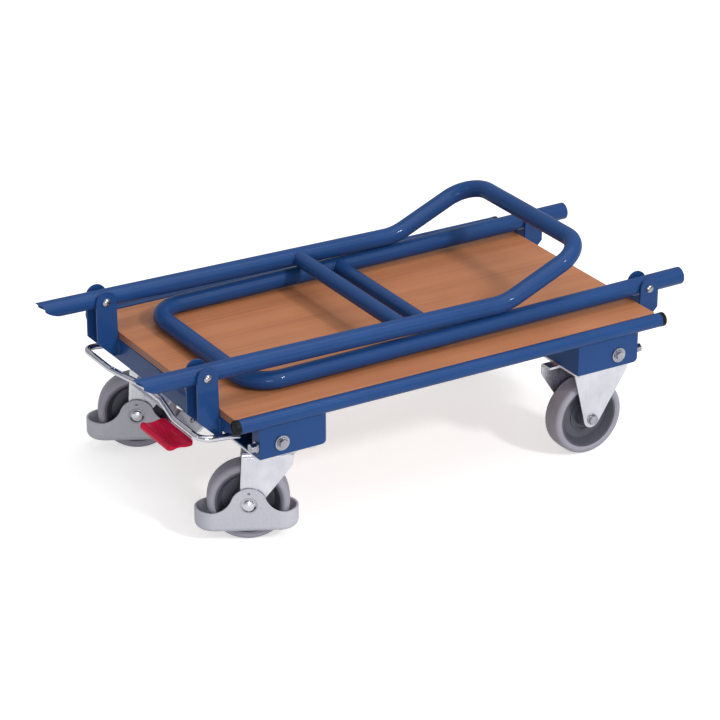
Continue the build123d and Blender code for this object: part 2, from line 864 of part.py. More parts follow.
def foot_guards():
    """The moulded guards round the front wheels: a band with rounded ends and an arch on each cheek."""
    top = wheel_radius + guard_arch
    floor = guard_low + guard_edge
    inner_length = guard_length - 2 * guard_wall
    for name, side in near_far.items():
        base = swivel_axle_base(side)
        with BuildPart() as guard:
            with BuildSketch(level(base, guard_low)):
                with Locations((-guard_back, 0)):
                    SlotOverall(guard_length, 2 * guard_outside)
            extrude(amount=top - guard_low)
            fillet(guard.faces().sort_by(Axis.Z)[0].edges(), guard_edge)
            with BuildSketch(level(base, floor)):
                with Locations((-guard_back, 0)):
                    SlotOverall(inner_length, 2 * guard_inside)
            extrude(amount=top - floor, mode=Mode.SUBTRACT)
            with BuildSketch(level(base, floor)):
                with Locations((-guard_back, 0)):
                    SlotOverall(inner_length, 2 * guard_inside)
            extrude(amount=-guard_edge, taper=guard_draft, mode=Mode.SUBTRACT)
            with BuildSketch(upright(base, guard_length)) as cheek:
                with Locations((0, wheel_radius)):
                    Circle(guard_arch)
                with Locations((0, guard_rim)):
                    Rectangle(2 * guard_length, guard_length, align=(Align.CENTER, Align.MAX))
                fillet(cheek.vertices().filter_by(is_rim_notch), guard_sweep)
            extrude(amount=2 * guard_length, mode=Mode.INTERSECT)
            with BuildSketch(upright(base, guard_length)):
                with Locations((0, wheel_radius - guard_hole_drop)):
                    Circle(guard_hole_radius)
                with Locations((0, wheel_radius + guard_screw_rise)):
                    Circle(guard_screw_radius)
            extrude(amount=2 * guard_length, mode=Mode.SUBTRACT)
            for v in (-1, 1):
                with BuildSketch(upright(base, v * guard_outside)):
                    with Locations((0, wheel_radius)):
                        Circle(guard_recess_radius)
                extrude(amount=v * guard_recess, mode=Mode.SUBTRACT)
        save(guard, f"foot_guard_{name}")


def is_rim_notch(vertex):
    """True for the corners of a guard's side view where its arch meets the rim of the band."""
    notch = sqrt(guard_arch**2 - guard_dip**2)
    return abs(abs(vertex.X) - notch) < 0.1 and abs(vertex.Y - guard_rim) < 0.1


def ring_section(half, crest=()):
    """The whole outline of a round piece from the half beside its middle plane and any crest on it."""
    near_half = [(radius, -out) for radius, out in half]
    far_half = [(radius, out) for radius, out in reversed(half)]
    return [*near_half, *crest, *far_half]


def wheels():
    """The four wheels: a dished hub with a boss and a raised ring, and a tyre with round shoulders."""
    bore = axle_tube_radius + running_fit
    boss = fork_inside / 2 - boss_gap
    web = hub_web / 2
    ring_outer = hub_ring_radius + hub_ring_width
    hub_half = (
        (bore, boss),
        (hub_boss_radius, boss),
        (hub_boss_radius + hub_boss_flare, web),
        (hub_ring_radius, web),
        (hub_ring_radius, web + hub_ring_rise),
        (ring_outer, web + hub_ring_rise),
        (ring_outer, web),
        (hub_radius - hub_rim - hub_dish, web),
        (hub_radius - hub_rim, hub_width / 2),
        (hub_radius, hub_width / 2),
    )
    tyre_half = (
        (hub_radius + tyre_bond, tyre_width / 2 - tyre_bevel),
        (hub_radius + tyre_lip, tyre_width / 2),
        (wheel_radius - tyre_crown, tyre_width / 2),
    )
    crest = [(wheel_radius, 0)]
    for end_name in ends:
        for side_name, side in near_far.items():
            base = swivel_axle_base(side) if end_name == "front" else rigid_base(side)
            middle = level(base, wheel_radius)
            axle = Axis(middle.origin, base.y_dir)
            with BuildPart() as hub:
                with BuildSketch(middle):
                    Polygon(*ring_section(hub_half), align=None)
                revolve(axis=axle)
            save(hub, f"wheel_hub_{end_name}_{side_name}")
            with BuildPart() as tyre:
                with BuildSketch(middle) as section:
                    Polygon(*ring_section(tyre_half, crest), align=None)
                    fillet(section.vertices().group_by(Axis.X)[-2], tyre_shoulder)
                revolve(axis=axle)
            save(tyre, f"tyre_{end_name}_{side_name}")


def axle_planes(base):
    """The outward faces of a fork's two legs that an axle bolt and its nut bear on."""
    hub = base.from_local_coords((0, 0, wheel_radius))
    near = Plane(hub, x_dir=base.x_dir, z_dir=-base.y_dir).offset(axle_seat)
    far = Plane(hub, x_dir=-base.x_dir, z_dir=base.y_dir).offset(axle_seat)
    return near, far


def axle_nuts_and_tubes(kind, ending, bases):
    """The axle nuts and the spacer tubes that the wheels turn on; gives back the seats of the bolts."""
    near_seats = []
    far_seats = []
    for base in bases:
        near, far = axle_planes(base)
        near_seats.append(near)
        far_seats.append(far)
    hex_nuts(f"{kind}_axle_nut{ending}", far_seats, axle_nut_across, axle_nut, axle_diameter)
    with BuildPart() as tubes:
        for near in near_seats:
            with BuildSketch(near.offset(-axle_seat)):
                Circle(axle_tube_radius)
                Circle(axle_radius, mode=Mode.SUBTRACT)
            extrude(amount=fork_inside / 2 - cope_gap, both=True)
    save(tubes, f"{kind}_axle_tube{ending}")
    return near_seats


def axles():
    """The axles: hexagon bolts at the rear, and domed ones that stand in the holes of the guards."""
    length = 2 * axle_seat + axle_nut + bolt_end
    seats = axle_nuts_and_tubes("rigid", "s", [rigid_base(side) for side in near_far.values()])
    hex_bolts("rigid_axle_bolts", seats, rigid_head_across, rigid_head, axle_diameter, length)
    heads = (swivel_head_radius, swivel_head, swivel_head_rim)
    for name, side in near_far.items():
        seats = axle_nuts_and_tubes("swivel", f"_{name}", [swivel_axle_base(side)])
        domed_bolts(f"swivel_axle_bolt_{name}", seats, *heads, axle_diameter, length)


def lock_bail():
    """The bent rod across the front, with an eye on each arm round the side bolts of the boxes."""
    axis_x = front_box_x - side_bolt_out
    rise = atan2(bail_front_rise, axis_x - bail_front_x)
    base = Plane(
        (axis_x, 0, side_bolt_z),
        x_dir=(-cos(rise), 0, sin(rise)),
        z_dir=(sin(rise), 0, cos(rise)),
    )
    front = (axis_x - bail_front_x) / cos(rise)
    bow = (axis_x - bail_bow_x) / cos(rise)
    arm_start = bail_eye_radius - bail_eye_bite
    corners = (
        (arm_start, -bail_arm_y),
        (front, -bail_arm_y),
        (front, -bail_bow_far),
        (bow, -bail_bow_far + bail_bow_run),
        (bow, bail_bow_near - bail_bow_run),
        (front, bail_bow_near),
        (front, bail_arm_y),
        (arm_start, bail_arm_y),
    )
    radii = [bail_corner_radius, *[bail_bow_radius] * 4, bail_corner_radius]
    straights, bends = runs([base.from_local_coords((*c, 0)) for c in corners], radii)
    with BuildPart() as bail:
        for start, heading, length in straights:
            with BuildSketch(Plane(start, z_dir=heading)):
                Circle(bail_diameter / 2)
            extrude(amount=length)
        for start, heading, axis, angle in bends:
            with BuildSketch(Plane(start, z_dir=heading)):
                Circle(bail_diameter / 2)
            revolve(axis=axis, revolution_arc=angle)
        for side in near_far.values():
            with BuildSketch(across(axis_x, side * bail_arm_y + bail_eye_width / 2, side_bolt_z)):
                Circle(bail_eye_radius)
                Circle(side_bolt_diameter / 2, mode=Mode.SUBTRACT)
            extrude(amount=bail_eye_width)
    save(bail, "lock_bail")


def brake():
    """The brake: a cross shaft with two fingers, the plungers under them, the lever and its pedal."""
    finger_low = shaft_z - shaft_radius
    finger_length = shaft_x - front_box_x + plunger_radius + finger_toe
    with BuildPart() as shaft:
        with BuildSketch(across(shaft_x, shaft_length / 2, shaft_z)):
            Circle(shaft_radius)
        extrude(amount=shaft_length)
        for side in near_far.values():
            with BuildSketch(across(shaft_x, side * box_centre_y + finger_width / 2, finger_low)):
                Rectangle(finger_length, finger_sheet, align=(Align.MAX, Align.MIN))
            extrude(amount=finger_width)
    save(shaft, "brake_shaft")
    for name, side in near_far.items():
        base = Plane((front_box_x, side * box_centre_y, 0))
        top = finger_low - plunger_gap
        with BuildPart() as plunger:
            with BuildSketch(level(base, plunger_low)):
                Circle(plunger_radius)
            extrude(amount=top - plunger_tip - plunger_low)
            with BuildSketch(level(base, top)):
                Circle(plunger_tip_radius)
            extrude(amount=-plunger_tip)
        save(plunger, f"brake_plunger_{name}")
    lever_top = shaft_z - lever_drop
    slope = radians(lever_slope)
    pedal_low = pedal_top - pedal_sheet
    foot_x = lever_bend_x - (lever_top - pedal_low) / tan(slope)
    shift = lever_sheet * tan(slope / 2)
    far_edge = lever_y + lever_width / 2
    with BuildPart() as lever:
        with BuildSketch(across(0, far_edge, 0)):
            Polygon(
                (shaft_x, lever_top),
                (lever_bend_x, lever_top),
                (foot_x, pedal_low),
                (pedal_front_x + lever_toe, pedal_low),
                (pedal_front_x + lever_toe, pedal_low - lever_sheet),
                (foot_x + shift, pedal_low - lever_sheet),
                (lever_bend_x + shift, lever_top - lever_sheet),
                (shaft_x, lever_top - lever_sheet),
                align=None,
            )
            with Locations((shaft_x, shaft_z)):
                Circle(shaft_radius + lever_sheet)
        extrude(amount=lever_width)
        with BuildSketch(across(shaft_x, far_edge, shaft_z)):
            Circle(shaft_radius + running_fit)
        extrude(amount=lever_width, mode=Mode.SUBTRACT)
    save(lever, "pedal_lever")
    back_x = foot_x - weld_gap
    bead_x = pedal_front_x + pedal_bead
    with BuildPart() as pedal:
        with BuildSketch(across(0, pedal_y + pedal_width, 0)):
            Polygon(
                (back_x + pedal_sheet / tan(slope), pedal_top),
                (back_x, pedal_low),
                (bead_x, pedal_low),
                (bead_x, pedal_top),
                align=None,
            )
            with Locations((bead_x, pedal_low + pedal_bead)):
                Circle(pedal_bead)
        extrude(amount=2 * pedal_width)
        with BuildSketch(Plane((pedal_front_x + pedal_width, pedal_y, pedal_low - pedal_bead))):
            RectangleRounded(2 * pedal_width, pedal_width, pedal_corner)
        extrude(amount=4 * pedal_bead, mode=Mode.INTERSECT)
    save(pedal, "brake_pedal")


def brake_bracket():
    """The bent plate behind the front angle iron."""
    inside = -end_face + angle_sheet
    slope = radians(lever_slope)
    head_z = board_bottom - bracket_head_gap
    bend_z = angle_bottom - bracket_sheet
    shift = bracket_sheet * tan((radians(90) - slope) / 2)
    lip_x = inside - bracket_out * cos(slope)
    lip_z = bend_z - bracket_out * sin(slope)
    with BuildPart() as bracket:
        with BuildSketch(across(0, bracket_far_y, 0)):
            Polygon(
                (inside, head_z),
                (inside, bend_z),
                (lip_x, lip_z),
                (lip_x + bracket_sheet * sin(slope), lip_z - bracket_sheet * cos(slope)),
                (inside + bracket_sheet, bend_z - shift),
                (inside + bracket_sheet, head_z),
                align=None,
            )
        extrude(amount=bracket_far_y - bracket_near_y)
    save(bracket, "brake_bracket")


if __name__ == "__main__":
    os.makedirs("parts", exist_ok=True)
    deck_board()
    side_tubes()
    tube_end_caps()
    end_angles()
    handle_posts()
    pivot_fasteners()
    lower_handle()
    crossbar("lower_handle_crossbar", lower_plane(), lower_cross_at)
    upper_handle()
    crossbar("upper_handle_crossbar", upper_plane(), upper_cross_at)
    castor_boxes()
    box_fasteners()
    rigid_forks()
    swivel_plates()
    swivel_forks()
    kingpins()
    foot_guards()
    wheels()
    axles()
    lock_bail()
    brake()
    brake_bracket()
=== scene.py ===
"""Looks of a folding platform trolley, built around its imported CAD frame. Metres, +Z up."""

import json
import logging
import math
from collections.abc import Callable, Iterator
from contextlib import contextmanager
from dataclasses import dataclass
from enum import Enum

import bpy
from mathutils import Matrix, Vector


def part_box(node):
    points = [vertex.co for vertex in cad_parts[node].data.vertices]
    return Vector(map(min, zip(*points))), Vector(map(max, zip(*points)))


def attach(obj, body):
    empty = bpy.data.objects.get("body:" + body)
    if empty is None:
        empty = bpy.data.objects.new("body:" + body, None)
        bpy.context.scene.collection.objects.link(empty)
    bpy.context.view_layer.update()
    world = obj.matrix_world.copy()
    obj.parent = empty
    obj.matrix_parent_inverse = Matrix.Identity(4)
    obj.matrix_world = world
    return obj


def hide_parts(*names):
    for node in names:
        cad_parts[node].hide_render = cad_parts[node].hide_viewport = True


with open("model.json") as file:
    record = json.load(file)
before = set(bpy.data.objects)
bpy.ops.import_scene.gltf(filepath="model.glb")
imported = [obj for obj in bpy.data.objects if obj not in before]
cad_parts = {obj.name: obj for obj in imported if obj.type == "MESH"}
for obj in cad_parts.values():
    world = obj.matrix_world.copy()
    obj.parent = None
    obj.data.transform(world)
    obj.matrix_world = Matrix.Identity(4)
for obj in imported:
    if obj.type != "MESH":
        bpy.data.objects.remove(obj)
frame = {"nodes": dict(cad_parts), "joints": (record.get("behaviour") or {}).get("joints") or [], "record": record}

Colour = tuple[float, float, float, float]
Triple = tuple[float, float, float]
Pair = tuple[float, float]
Piece = bpy.types.Object
Material = bpy.types.Material
Node = bpy.types.Node
Socket = bpy.types.NodeSocket

LOG = logging.getLogger("trolley")
MM = 0.001
WHITE: Colour = (1.0, 1.0, 1.0, 1.0)
ALONG_X: Triple = (1.0, 0.0, 0.0)
# A face counts as square to an axis from this share of its normal along it.
SQUARE = 0.9


class Slot(Enum):
    """The record's material slots."""

    PAINT = "blue_paint"
    BOARD = "deck_board"
    CAP = "end_cap"
    ZINC = "bright_zinc"
    HUB = "wheel_hub"
    TYRE = "tyre"
    GUARD = "foot_guard"
    PEDAL = "pedal"


class End(Enum):
    """The two ends of the trolley, by the sign of X."""

    FRONT = -1
    REAR = 1


class Side(Enum):
    """The two sides of the trolley, by the sign of Y."""

    NEAR = -1
    FAR = 1


class Axis(Enum):
    """The ways that a round piece can lie, each as its turn from upright."""

    X = (0.0, math.pi / 2, 0.0)
    Y = (math.pi / 2, 0.0, 0.0)
    Z = (0.0, 0.0, 0.0)


def srgb(red: int, green: int, blue: int) -> Colour:
    """Turns an 8-bit display colour into a linear one.

    Args:
        red: Red, 0 to 255.
        green: Green, 0 to 255.
        blue: Blue, 0 to 255.

    Returns:
        The linear colour with full alpha.
    """
    full, toe, toe_slope = 255, 10, 12.92
    lift, power = 0.055, 2.4
    linear = []
    for value in (red, green, blue):
        share = value / full
        linear.append(((share + lift) / (1 + lift)) ** power if value > toe else share / toe_slope)
    return (*linear, 1.0)


def lane_of(node: str) -> float:
    """The middle of a CAD node across the trolley."""
    low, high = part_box(node)
    return (low.y + high.y) / 2


def emptied(owner: Material | bpy.types.World) -> bpy.types.NodeTree:
    """Gives a material or a world an empty node tree.

    Args:
        owner: The material or world.

    Returns:
        Its tree.
    """
    owner.use_nodes = True
    owner.node_tree.nodes.clear()
    return owner.node_tree


class NodeDesk:
    """Adds nodes to one node tree and joins them."""

    # A Mix node's colour sockets go by number, because their names repeat.
    MIX_FIRST = 6
    MIX_SECOND = 7
    MIX_RESULT = 2

    def __init__(self, tree: bpy.types.NodeTree) -> None:
        """Takes the tree that the nodes go into."""
        self.tree = tree

    def add(self, kind: str, **values: object) -> Node:
        """Adds a node and sets its properties or its inputs.

        Args:
            kind: The node's type name without its ShaderNode prefix.
            values: Properties by name, or inputs by name with spaces written as underscores.

        Returns:
            The new node.
        """
        node = self.tree.nodes.new(f"ShaderNode{kind}")
        for name, value in values.items():
            if hasattr(node, name):
                setattr(node, name, value)
            else:
                self.feed(node, name.replace("_", " "), value)
        return node

    def feed(self, node: Node, name: str | int, value: object) -> None:
        """Sets one input, or links it where the value is a socket.

        Args:
            node: The node to feed.
            name: The input's name, or its number where names repeat.
            value: A plain value, or an output socket.
        """
        target = node.inputs[name]
        if isinstance(value, Socket):
            self.tree.links.new(value, target)
        else:
            target.default_value = value

    def mix(self, factor: object, first: object, second: object) -> Socket:
        """Mixes two colours.

        Args:
            factor: The share of the second colour.
            first: The colour at factor 0.
            second: The colour at factor 1.

        Returns:
            The mixed colour's socket.
        """
        node = self.add("Mix", data_type="RGBA", Factor=factor)
        self.feed(node, self.MIX_FIRST, first)
        self.feed(node, self.MIX_SECOND, second)
        return node.outputs[self.MIX_RESULT]

    def math(self, operation: str, first: object, second: object = 0.0) -> Socket:
        """Works out one sum.

        Args:
            operation: The Math node's operation.
            first: The first value.
            second: The second value.

        Returns:
            The result's socket.
        """
        node = self.add("Math", operation=operation)
        self.feed(node, 0, first)
        self.feed(node, 1, second)
        return node.outputs["Value"]

    def remap(self, value: Socket, given: Pair = (0.0, 1.0), made: Pair = (0.0, 1.0)) -> Socket:
        """Stretches a value from one range to another, and holds it there.

        Args:
            value: The value.
            given: The range that it comes in.
            made: The range that it goes out in.

        Returns:
            The new value's socket.
        """
        node = self.add("MapRange", Value=value, From_Min=given[0], From_Max=given[1])
        self.feed(node, "To Min", made[0])
        self.feed(node, "To Max", made[1])
        return node.outputs["Result"]


class SurfaceGroups:
    """The shader node groups that several finishes share, each built once."""

    GRAIN_DETAIL = 3.0
    GRAIN_BAND: Pair = (0.35, 0.65)
    TONE_DETAIL = 4.0
    TONE_BAND: Pair = (0.3, 0.7)
    STREAK_DETAIL = 6.0
    STREAK_WAVER = 0.2
    STREAK_BAND: Pair = (0.32, 0.68)

    def __init__(self) -> None:
        """Builds the groups."""
        self.grain = self._grain()
        self.tone = self._tone()
        self.streaks = self._streaks()

    @staticmethod
    def _start(name: str, inputs: dict[str, str], outputs: dict[str, str]) -> tuple[NodeDesk, Node, Node]:
        """Makes an empty group with its sockets.

        Args:
            name: The group's name.
            inputs: Socket type by input name.
            outputs: Socket type by output name.

        Returns:
            The group's desk, its input node and its output node.
        """
        tree = bpy.data.node_groups.new(name, "ShaderNodeTree")
        for way, sockets in (("INPUT", inputs), ("OUTPUT", outputs)):
            for label, kind in sockets.items():
                tree.interface.new_socket(label, in_out=way, socket_type=f"NodeSocket{kind}")
        return NodeDesk(tree), tree.nodes.new("NodeGroupInput"), tree.nodes.new("NodeGroupOutput")

    def _grain(self) -> bpy.types.NodeTree:
        """A fine even grain: its height, and the same as a mask.

        Returns:
            The node group.
        """
        desk, given, made = self._start(
            "FineGrain", {"Vector": "Vector", "Scale": "Float"}, {"Height": "Float", "Mask": "Float"}
        )
        noise = desk.add("TexNoise", Vector=given.outputs["Vector"], Scale=given.outputs["Scale"])
        desk.feed(noise, "Detail", self.GRAIN_DETAIL)
        desk.feed(made, "Height", noise.outputs["Fac"])
        desk.feed(made, "Mask", desk.remap(noise.outputs["Fac"], self.GRAIN_BAND))
        return desk.tree

    def _tone(self) -> bpy.types.NodeTree:
        """A slow drift between two colours.

        Returns:
            The node group.
        """
        inputs = {"Vector": "Vector", "Scale": "Float", "Light": "Color", "Dark": "Color"}
        desk, given, made = self._start("ToneDrift", inputs, {"Color": "Color"})
        noise = desk.add("TexNoise", Vector=given.outputs["Vector"], Scale=given.outputs["Scale"])
        desk.feed(noise, "Detail", self.TONE_DETAIL)
        share = desk.remap(noise.outputs["Fac"], self.TONE_BAND)
        desk.feed(made, "Color", desk.mix(share, given.outputs["Dark"], given.outputs["Light"]))
        return desk.tree

    def _streaks(self) -> bpy.types.NodeTree:
        """Streaks drawn out along one axis, for wood grain and drawn or dipped metal.

        Returns:
            The node group.
        """
        desk, given, made = self._start(
            "LongStreaks", {"Vector": "Vector", "Stretch": "Vector"}, {"Mask": "Float"}
        )
        drawn = desk.add("Mapping", Vector=given.outputs["Vector"], Scale=given.outputs["Stretch"])
        noise = desk.add("TexNoise", Vector=drawn.outputs["Vector"], Scale=1.0)
        desk.feed(noise, "Detail", self.STREAK_DETAIL)
        desk.feed(noise, "Distortion", self.STREAK_WAVER)
        desk.feed(made, "Mask", desk.remap(noise.outputs["Fac"], self.STREAK_BAND))
        return desk.tree


class FinishDesk(NodeDesk):
    """The node desk of one finish, with its shader, its coordinates and the shared groups at hand."""

    def __init__(self, material: Material, groups: SurfaceGroups) -> None:
        """Empties the material and gives it its shader.

        Args:
            material: The material.
            groups: The shared shader groups.
        """
        super().__init__(emptied(material))
        self.groups = groups
        self.shader = self.add("BsdfPrincipled")
        self.feed(self.add("OutputMaterial"), "Surface", self.shader.outputs["BSDF"])
        self.place = self.add("TexCoord").outputs["Object"]


@dataclass(frozen=True)
class Finish:
    """What every finish has: a name, a slot, two tones, a range of roughness and a fine grain."""

    name: str
    slot: Slot
    light: Colour
    dark: Colour
    smooth: float
    rough: float
    tone_scale: float
    grain_scale: float
    grain_height: float

    def material(self, groups: SurfaceGroups) -> Material:
        """Builds the material.

        Args:
            groups: The shared shader groups.

        Returns:
            The finished material.
        """
        made = bpy.data.materials.new(self.name)
        desk = FinishDesk(made, groups)
        desk.feed(desk.shader, "Base Color", self.colour(desk))
        self.grain(desk)
        self.gloss(desk.shader)
        return made

    def drift(self, desk: FinishDesk) -> Socket:
        """The slow drift between the two tones.

        Args:
            desk: The finish's node desk.

        Returns:
            The colour's socket.
        """
        tone = desk.add("Group", node_tree=desk.groups.tone, Vector=desk.place, Scale=self.tone_scale)
        desk.feed(tone, "Light", self.light)
        desk.feed(tone, "Dark", self.dark)
        return tone.outputs["Color"]

    def colour(self, desk: FinishDesk) -> Socket:
        """The base colour; a plain finish only drifts."""
        return self.drift(desk)

    def streaks(self, desk: FinishDesk, stretch: Triple) -> Socket:
        """Places the shared streaks, with so many of them to the metre along each axis."""
        streaks = desk.add("Group", node_tree=desk.groups.streaks, Vector=desk.place, Stretch=stretch)
        return streaks.outputs["Mask"]

    def grain(self, desk: FinishDesk) -> None:
        """Feeds the roughness and the bump with a fine grain.

        Args:
            desk: The finish's node desk.
        """
        grain = desk.add("Group", node_tree=desk.groups.grain, Vector=desk.place, Scale=self.grain_scale)
        bump = desk.add("Bump", Height=grain.outputs["Height"], Distance=self.grain_height, Strength=1.0)
        desk.feed(desk.shader, "Roughness", desk.remap(grain.outputs["Mask"], made=(self.smooth, self.rough)))
        desk.feed(desk.shader, "Normal", bump.outputs["Normal"])

    def gloss(self, shader: Node) -> None:
        """Sets the constant sockets; a plain finish keeps the shader's own."""


@dataclass(frozen=True)
class Paint(Finish):
    """Powder coat: a matt colour with a slight orange peel under a sharp clear gloss."""

    coat: float = 0.22
    coat_roughness: float = 0.04
    body_gloss: float = 0.1

    def gloss(self, shader: Node) -> None:
        """Sets the clear gloss over the paint.

        Args:
            shader: The material's shader.
        """
        shader.inputs["Coat Weight"].default_value = self.coat
        shader.inputs["Coat Roughness"].default_value = self.coat_roughness
        shader.inputs["Specular IOR Level"].default_value = self.body_gloss


@dataclass(frozen=True)
class Plastic(Finish):
    """Moulded plastic with little shine."""

    shine: float = 0.15

    def gloss(self, shader: Node) -> None:
        """Lowers the shine."""
        shader.inputs["Specular IOR Level"].default_value = self.shine


@dataclass(frozen=True)
class Zinc(Finish):
    """Bright zinc plate with faint runs down the metal."""

    run: Triple = (70.0, 70.0, 4.0)
    run_share: float = 0.6

    def colour(self, desk: FinishDesk) -> Socket:
        """The two tones, mixed by the runs."""
        share = desk.remap(self.streaks(desk, self.run), made=(0.0, self.run_share))
        return desk.mix(share, self.drift(desk), self.dark)

    def gloss(self, shader: Node) -> None:
        """Makes the shader a metal."""
        shader.inputs["Metallic"].default_value = 1.0


@dataclass(frozen=True)
class Beech(Finish):
    """Beech decor: grain along the board, and the ply's layers in its cut edge."""

    streak: Colour = srgb(160, 98, 64)
    edge: Colour = srgb(152, 100, 74)
    layer: Colour = srgb(122, 79, 58)
    layer_depth: float = 2.4 * MM
    layer_band: Pair = (0.25, 0.6)
    broad: Triple = (1.6, 38.0, 20.0)
    fine: Triple = (5.0, 420.0, 60.0)
    streak_full: float = 0.7
    streak_share: float = 0.8
    upright_band: Pair = (0.8, 0.3)

    def colour(self, desk: FinishDesk) -> Socket:
        """Broad and fine streaks over the drift, and the layers wherever the surface stands upright.

        Args:
            desk: The finish's node desk.

        Returns:
            The colour's socket.
        """
        both = desk.math("MULTIPLY", self.streaks(desk, self.broad), self.streaks(desk, self.fine))
        share = desk.remap(both, (0.0, self.streak_full), (0.0, self.streak_share))
        face = desk.mix(share, self.drift(desk), self.streak)
        height = desk.add("SeparateXYZ", Vector=desk.place).outputs["Z"]
        wave = desk.math("PINGPONG", height, self.layer_depth)
        start, end = self.layer_band
        ply = desk.remap(wave, (self.layer_depth * start, self.layer_depth * end))
        cut = desk.mix(ply, self.layer, self.edge)
        tilt = desk.add("SeparateXYZ", Vector=desk.add("NewGeometry").outputs["Normal"]).outputs["Z"]
        upright = desk.remap(desk.math("ABSOLUTE", tilt), self.upright_band)
        return desk.mix(upright, face, cut)


FINISHES: dict[Slot, Finish] = {
    finish.slot: finish
    for finish in (
        Paint(
            "gentian_paint", Slot.PAINT, light=srgb(29, 67, 121), dark=srgb(26, 61, 112),
            smooth=0.4, rough=0.5, tone_scale=6.0, grain_scale=500.0, grain_height=1e-5,
        ),
        Beech(
            "beech_decor", Slot.BOARD, light=srgb(188, 125, 84), dark=srgb(177, 114, 74),
            smooth=0.42, rough=0.55, tone_scale=7.0, grain_scale=900.0, grain_height=2e-5,
        ),
        Zinc(
            "bright_zinc", Slot.ZINC, light=srgb(222, 222, 228), dark=srgb(202, 203, 211),
            smooth=0.24, rough=0.36, tone_scale=40.0, grain_scale=900.0, grain_height=2e-5,
        ),
        Plastic(
            "black_cap", Slot.CAP, light=srgb(18, 18, 20), dark=srgb(12, 12, 14),
            smooth=0.4, rough=0.55, tone_scale=60.0, grain_scale=1500.0, grain_height=3e-5,
        ),
        Finish(
            "hub_grey", Slot.HUB, light=srgb(76, 76, 89), dark=srgb(67, 67, 79),
            smooth=0.35, rough=0.5, tone_scale=30.0, grain_scale=1200.0, grain_height=3e-5,
        ),
        Finish(
            "tyre_grey", Slot.TYRE, light=srgb(154, 151, 164), dark=srgb(143, 140, 153),
            smooth=0.5, rough=0.65, tone_scale=35.0, grain_scale=1200.0, grain_height=4e-5,
        ),
        Finish(
            "guard_grey", Slot.GUARD, light=srgb(187, 188, 198), dark=srgb(178, 179, 189),
            smooth=0.45, rough=0.6, tone_scale=300.0, grain_scale=1500.0, grain_height=4e-5,
        ),
        Paint(
            "pedal_red", Slot.PEDAL, light=srgb(206, 0, 62), dark=srgb(188, 0, 50),
            smooth=0.3, rough=0.45, tone_scale=50.0, grain_scale=420.0, grain_height=8e-5,
        ),
    )
}

FASTENER_STEEL = Zinc(
    "fastener_steel", Slot.ZINC, light=srgb(186, 186, 194), dark=srgb(150, 151, 160),
    smooth=0.16, rough=0.3, tone_scale=90.0, grain_scale=900.0, grain_height=2e-5,
)
BRIGHT_ROD = Zinc(
    "bright_rod", Slot.ZINC, light=srgb(216, 217, 224), dark=srgb(192, 194, 204),
    smooth=0.07, rough=0.14, tone_scale=60.0, grain_scale=700.0, grain_height=4e-6,
)


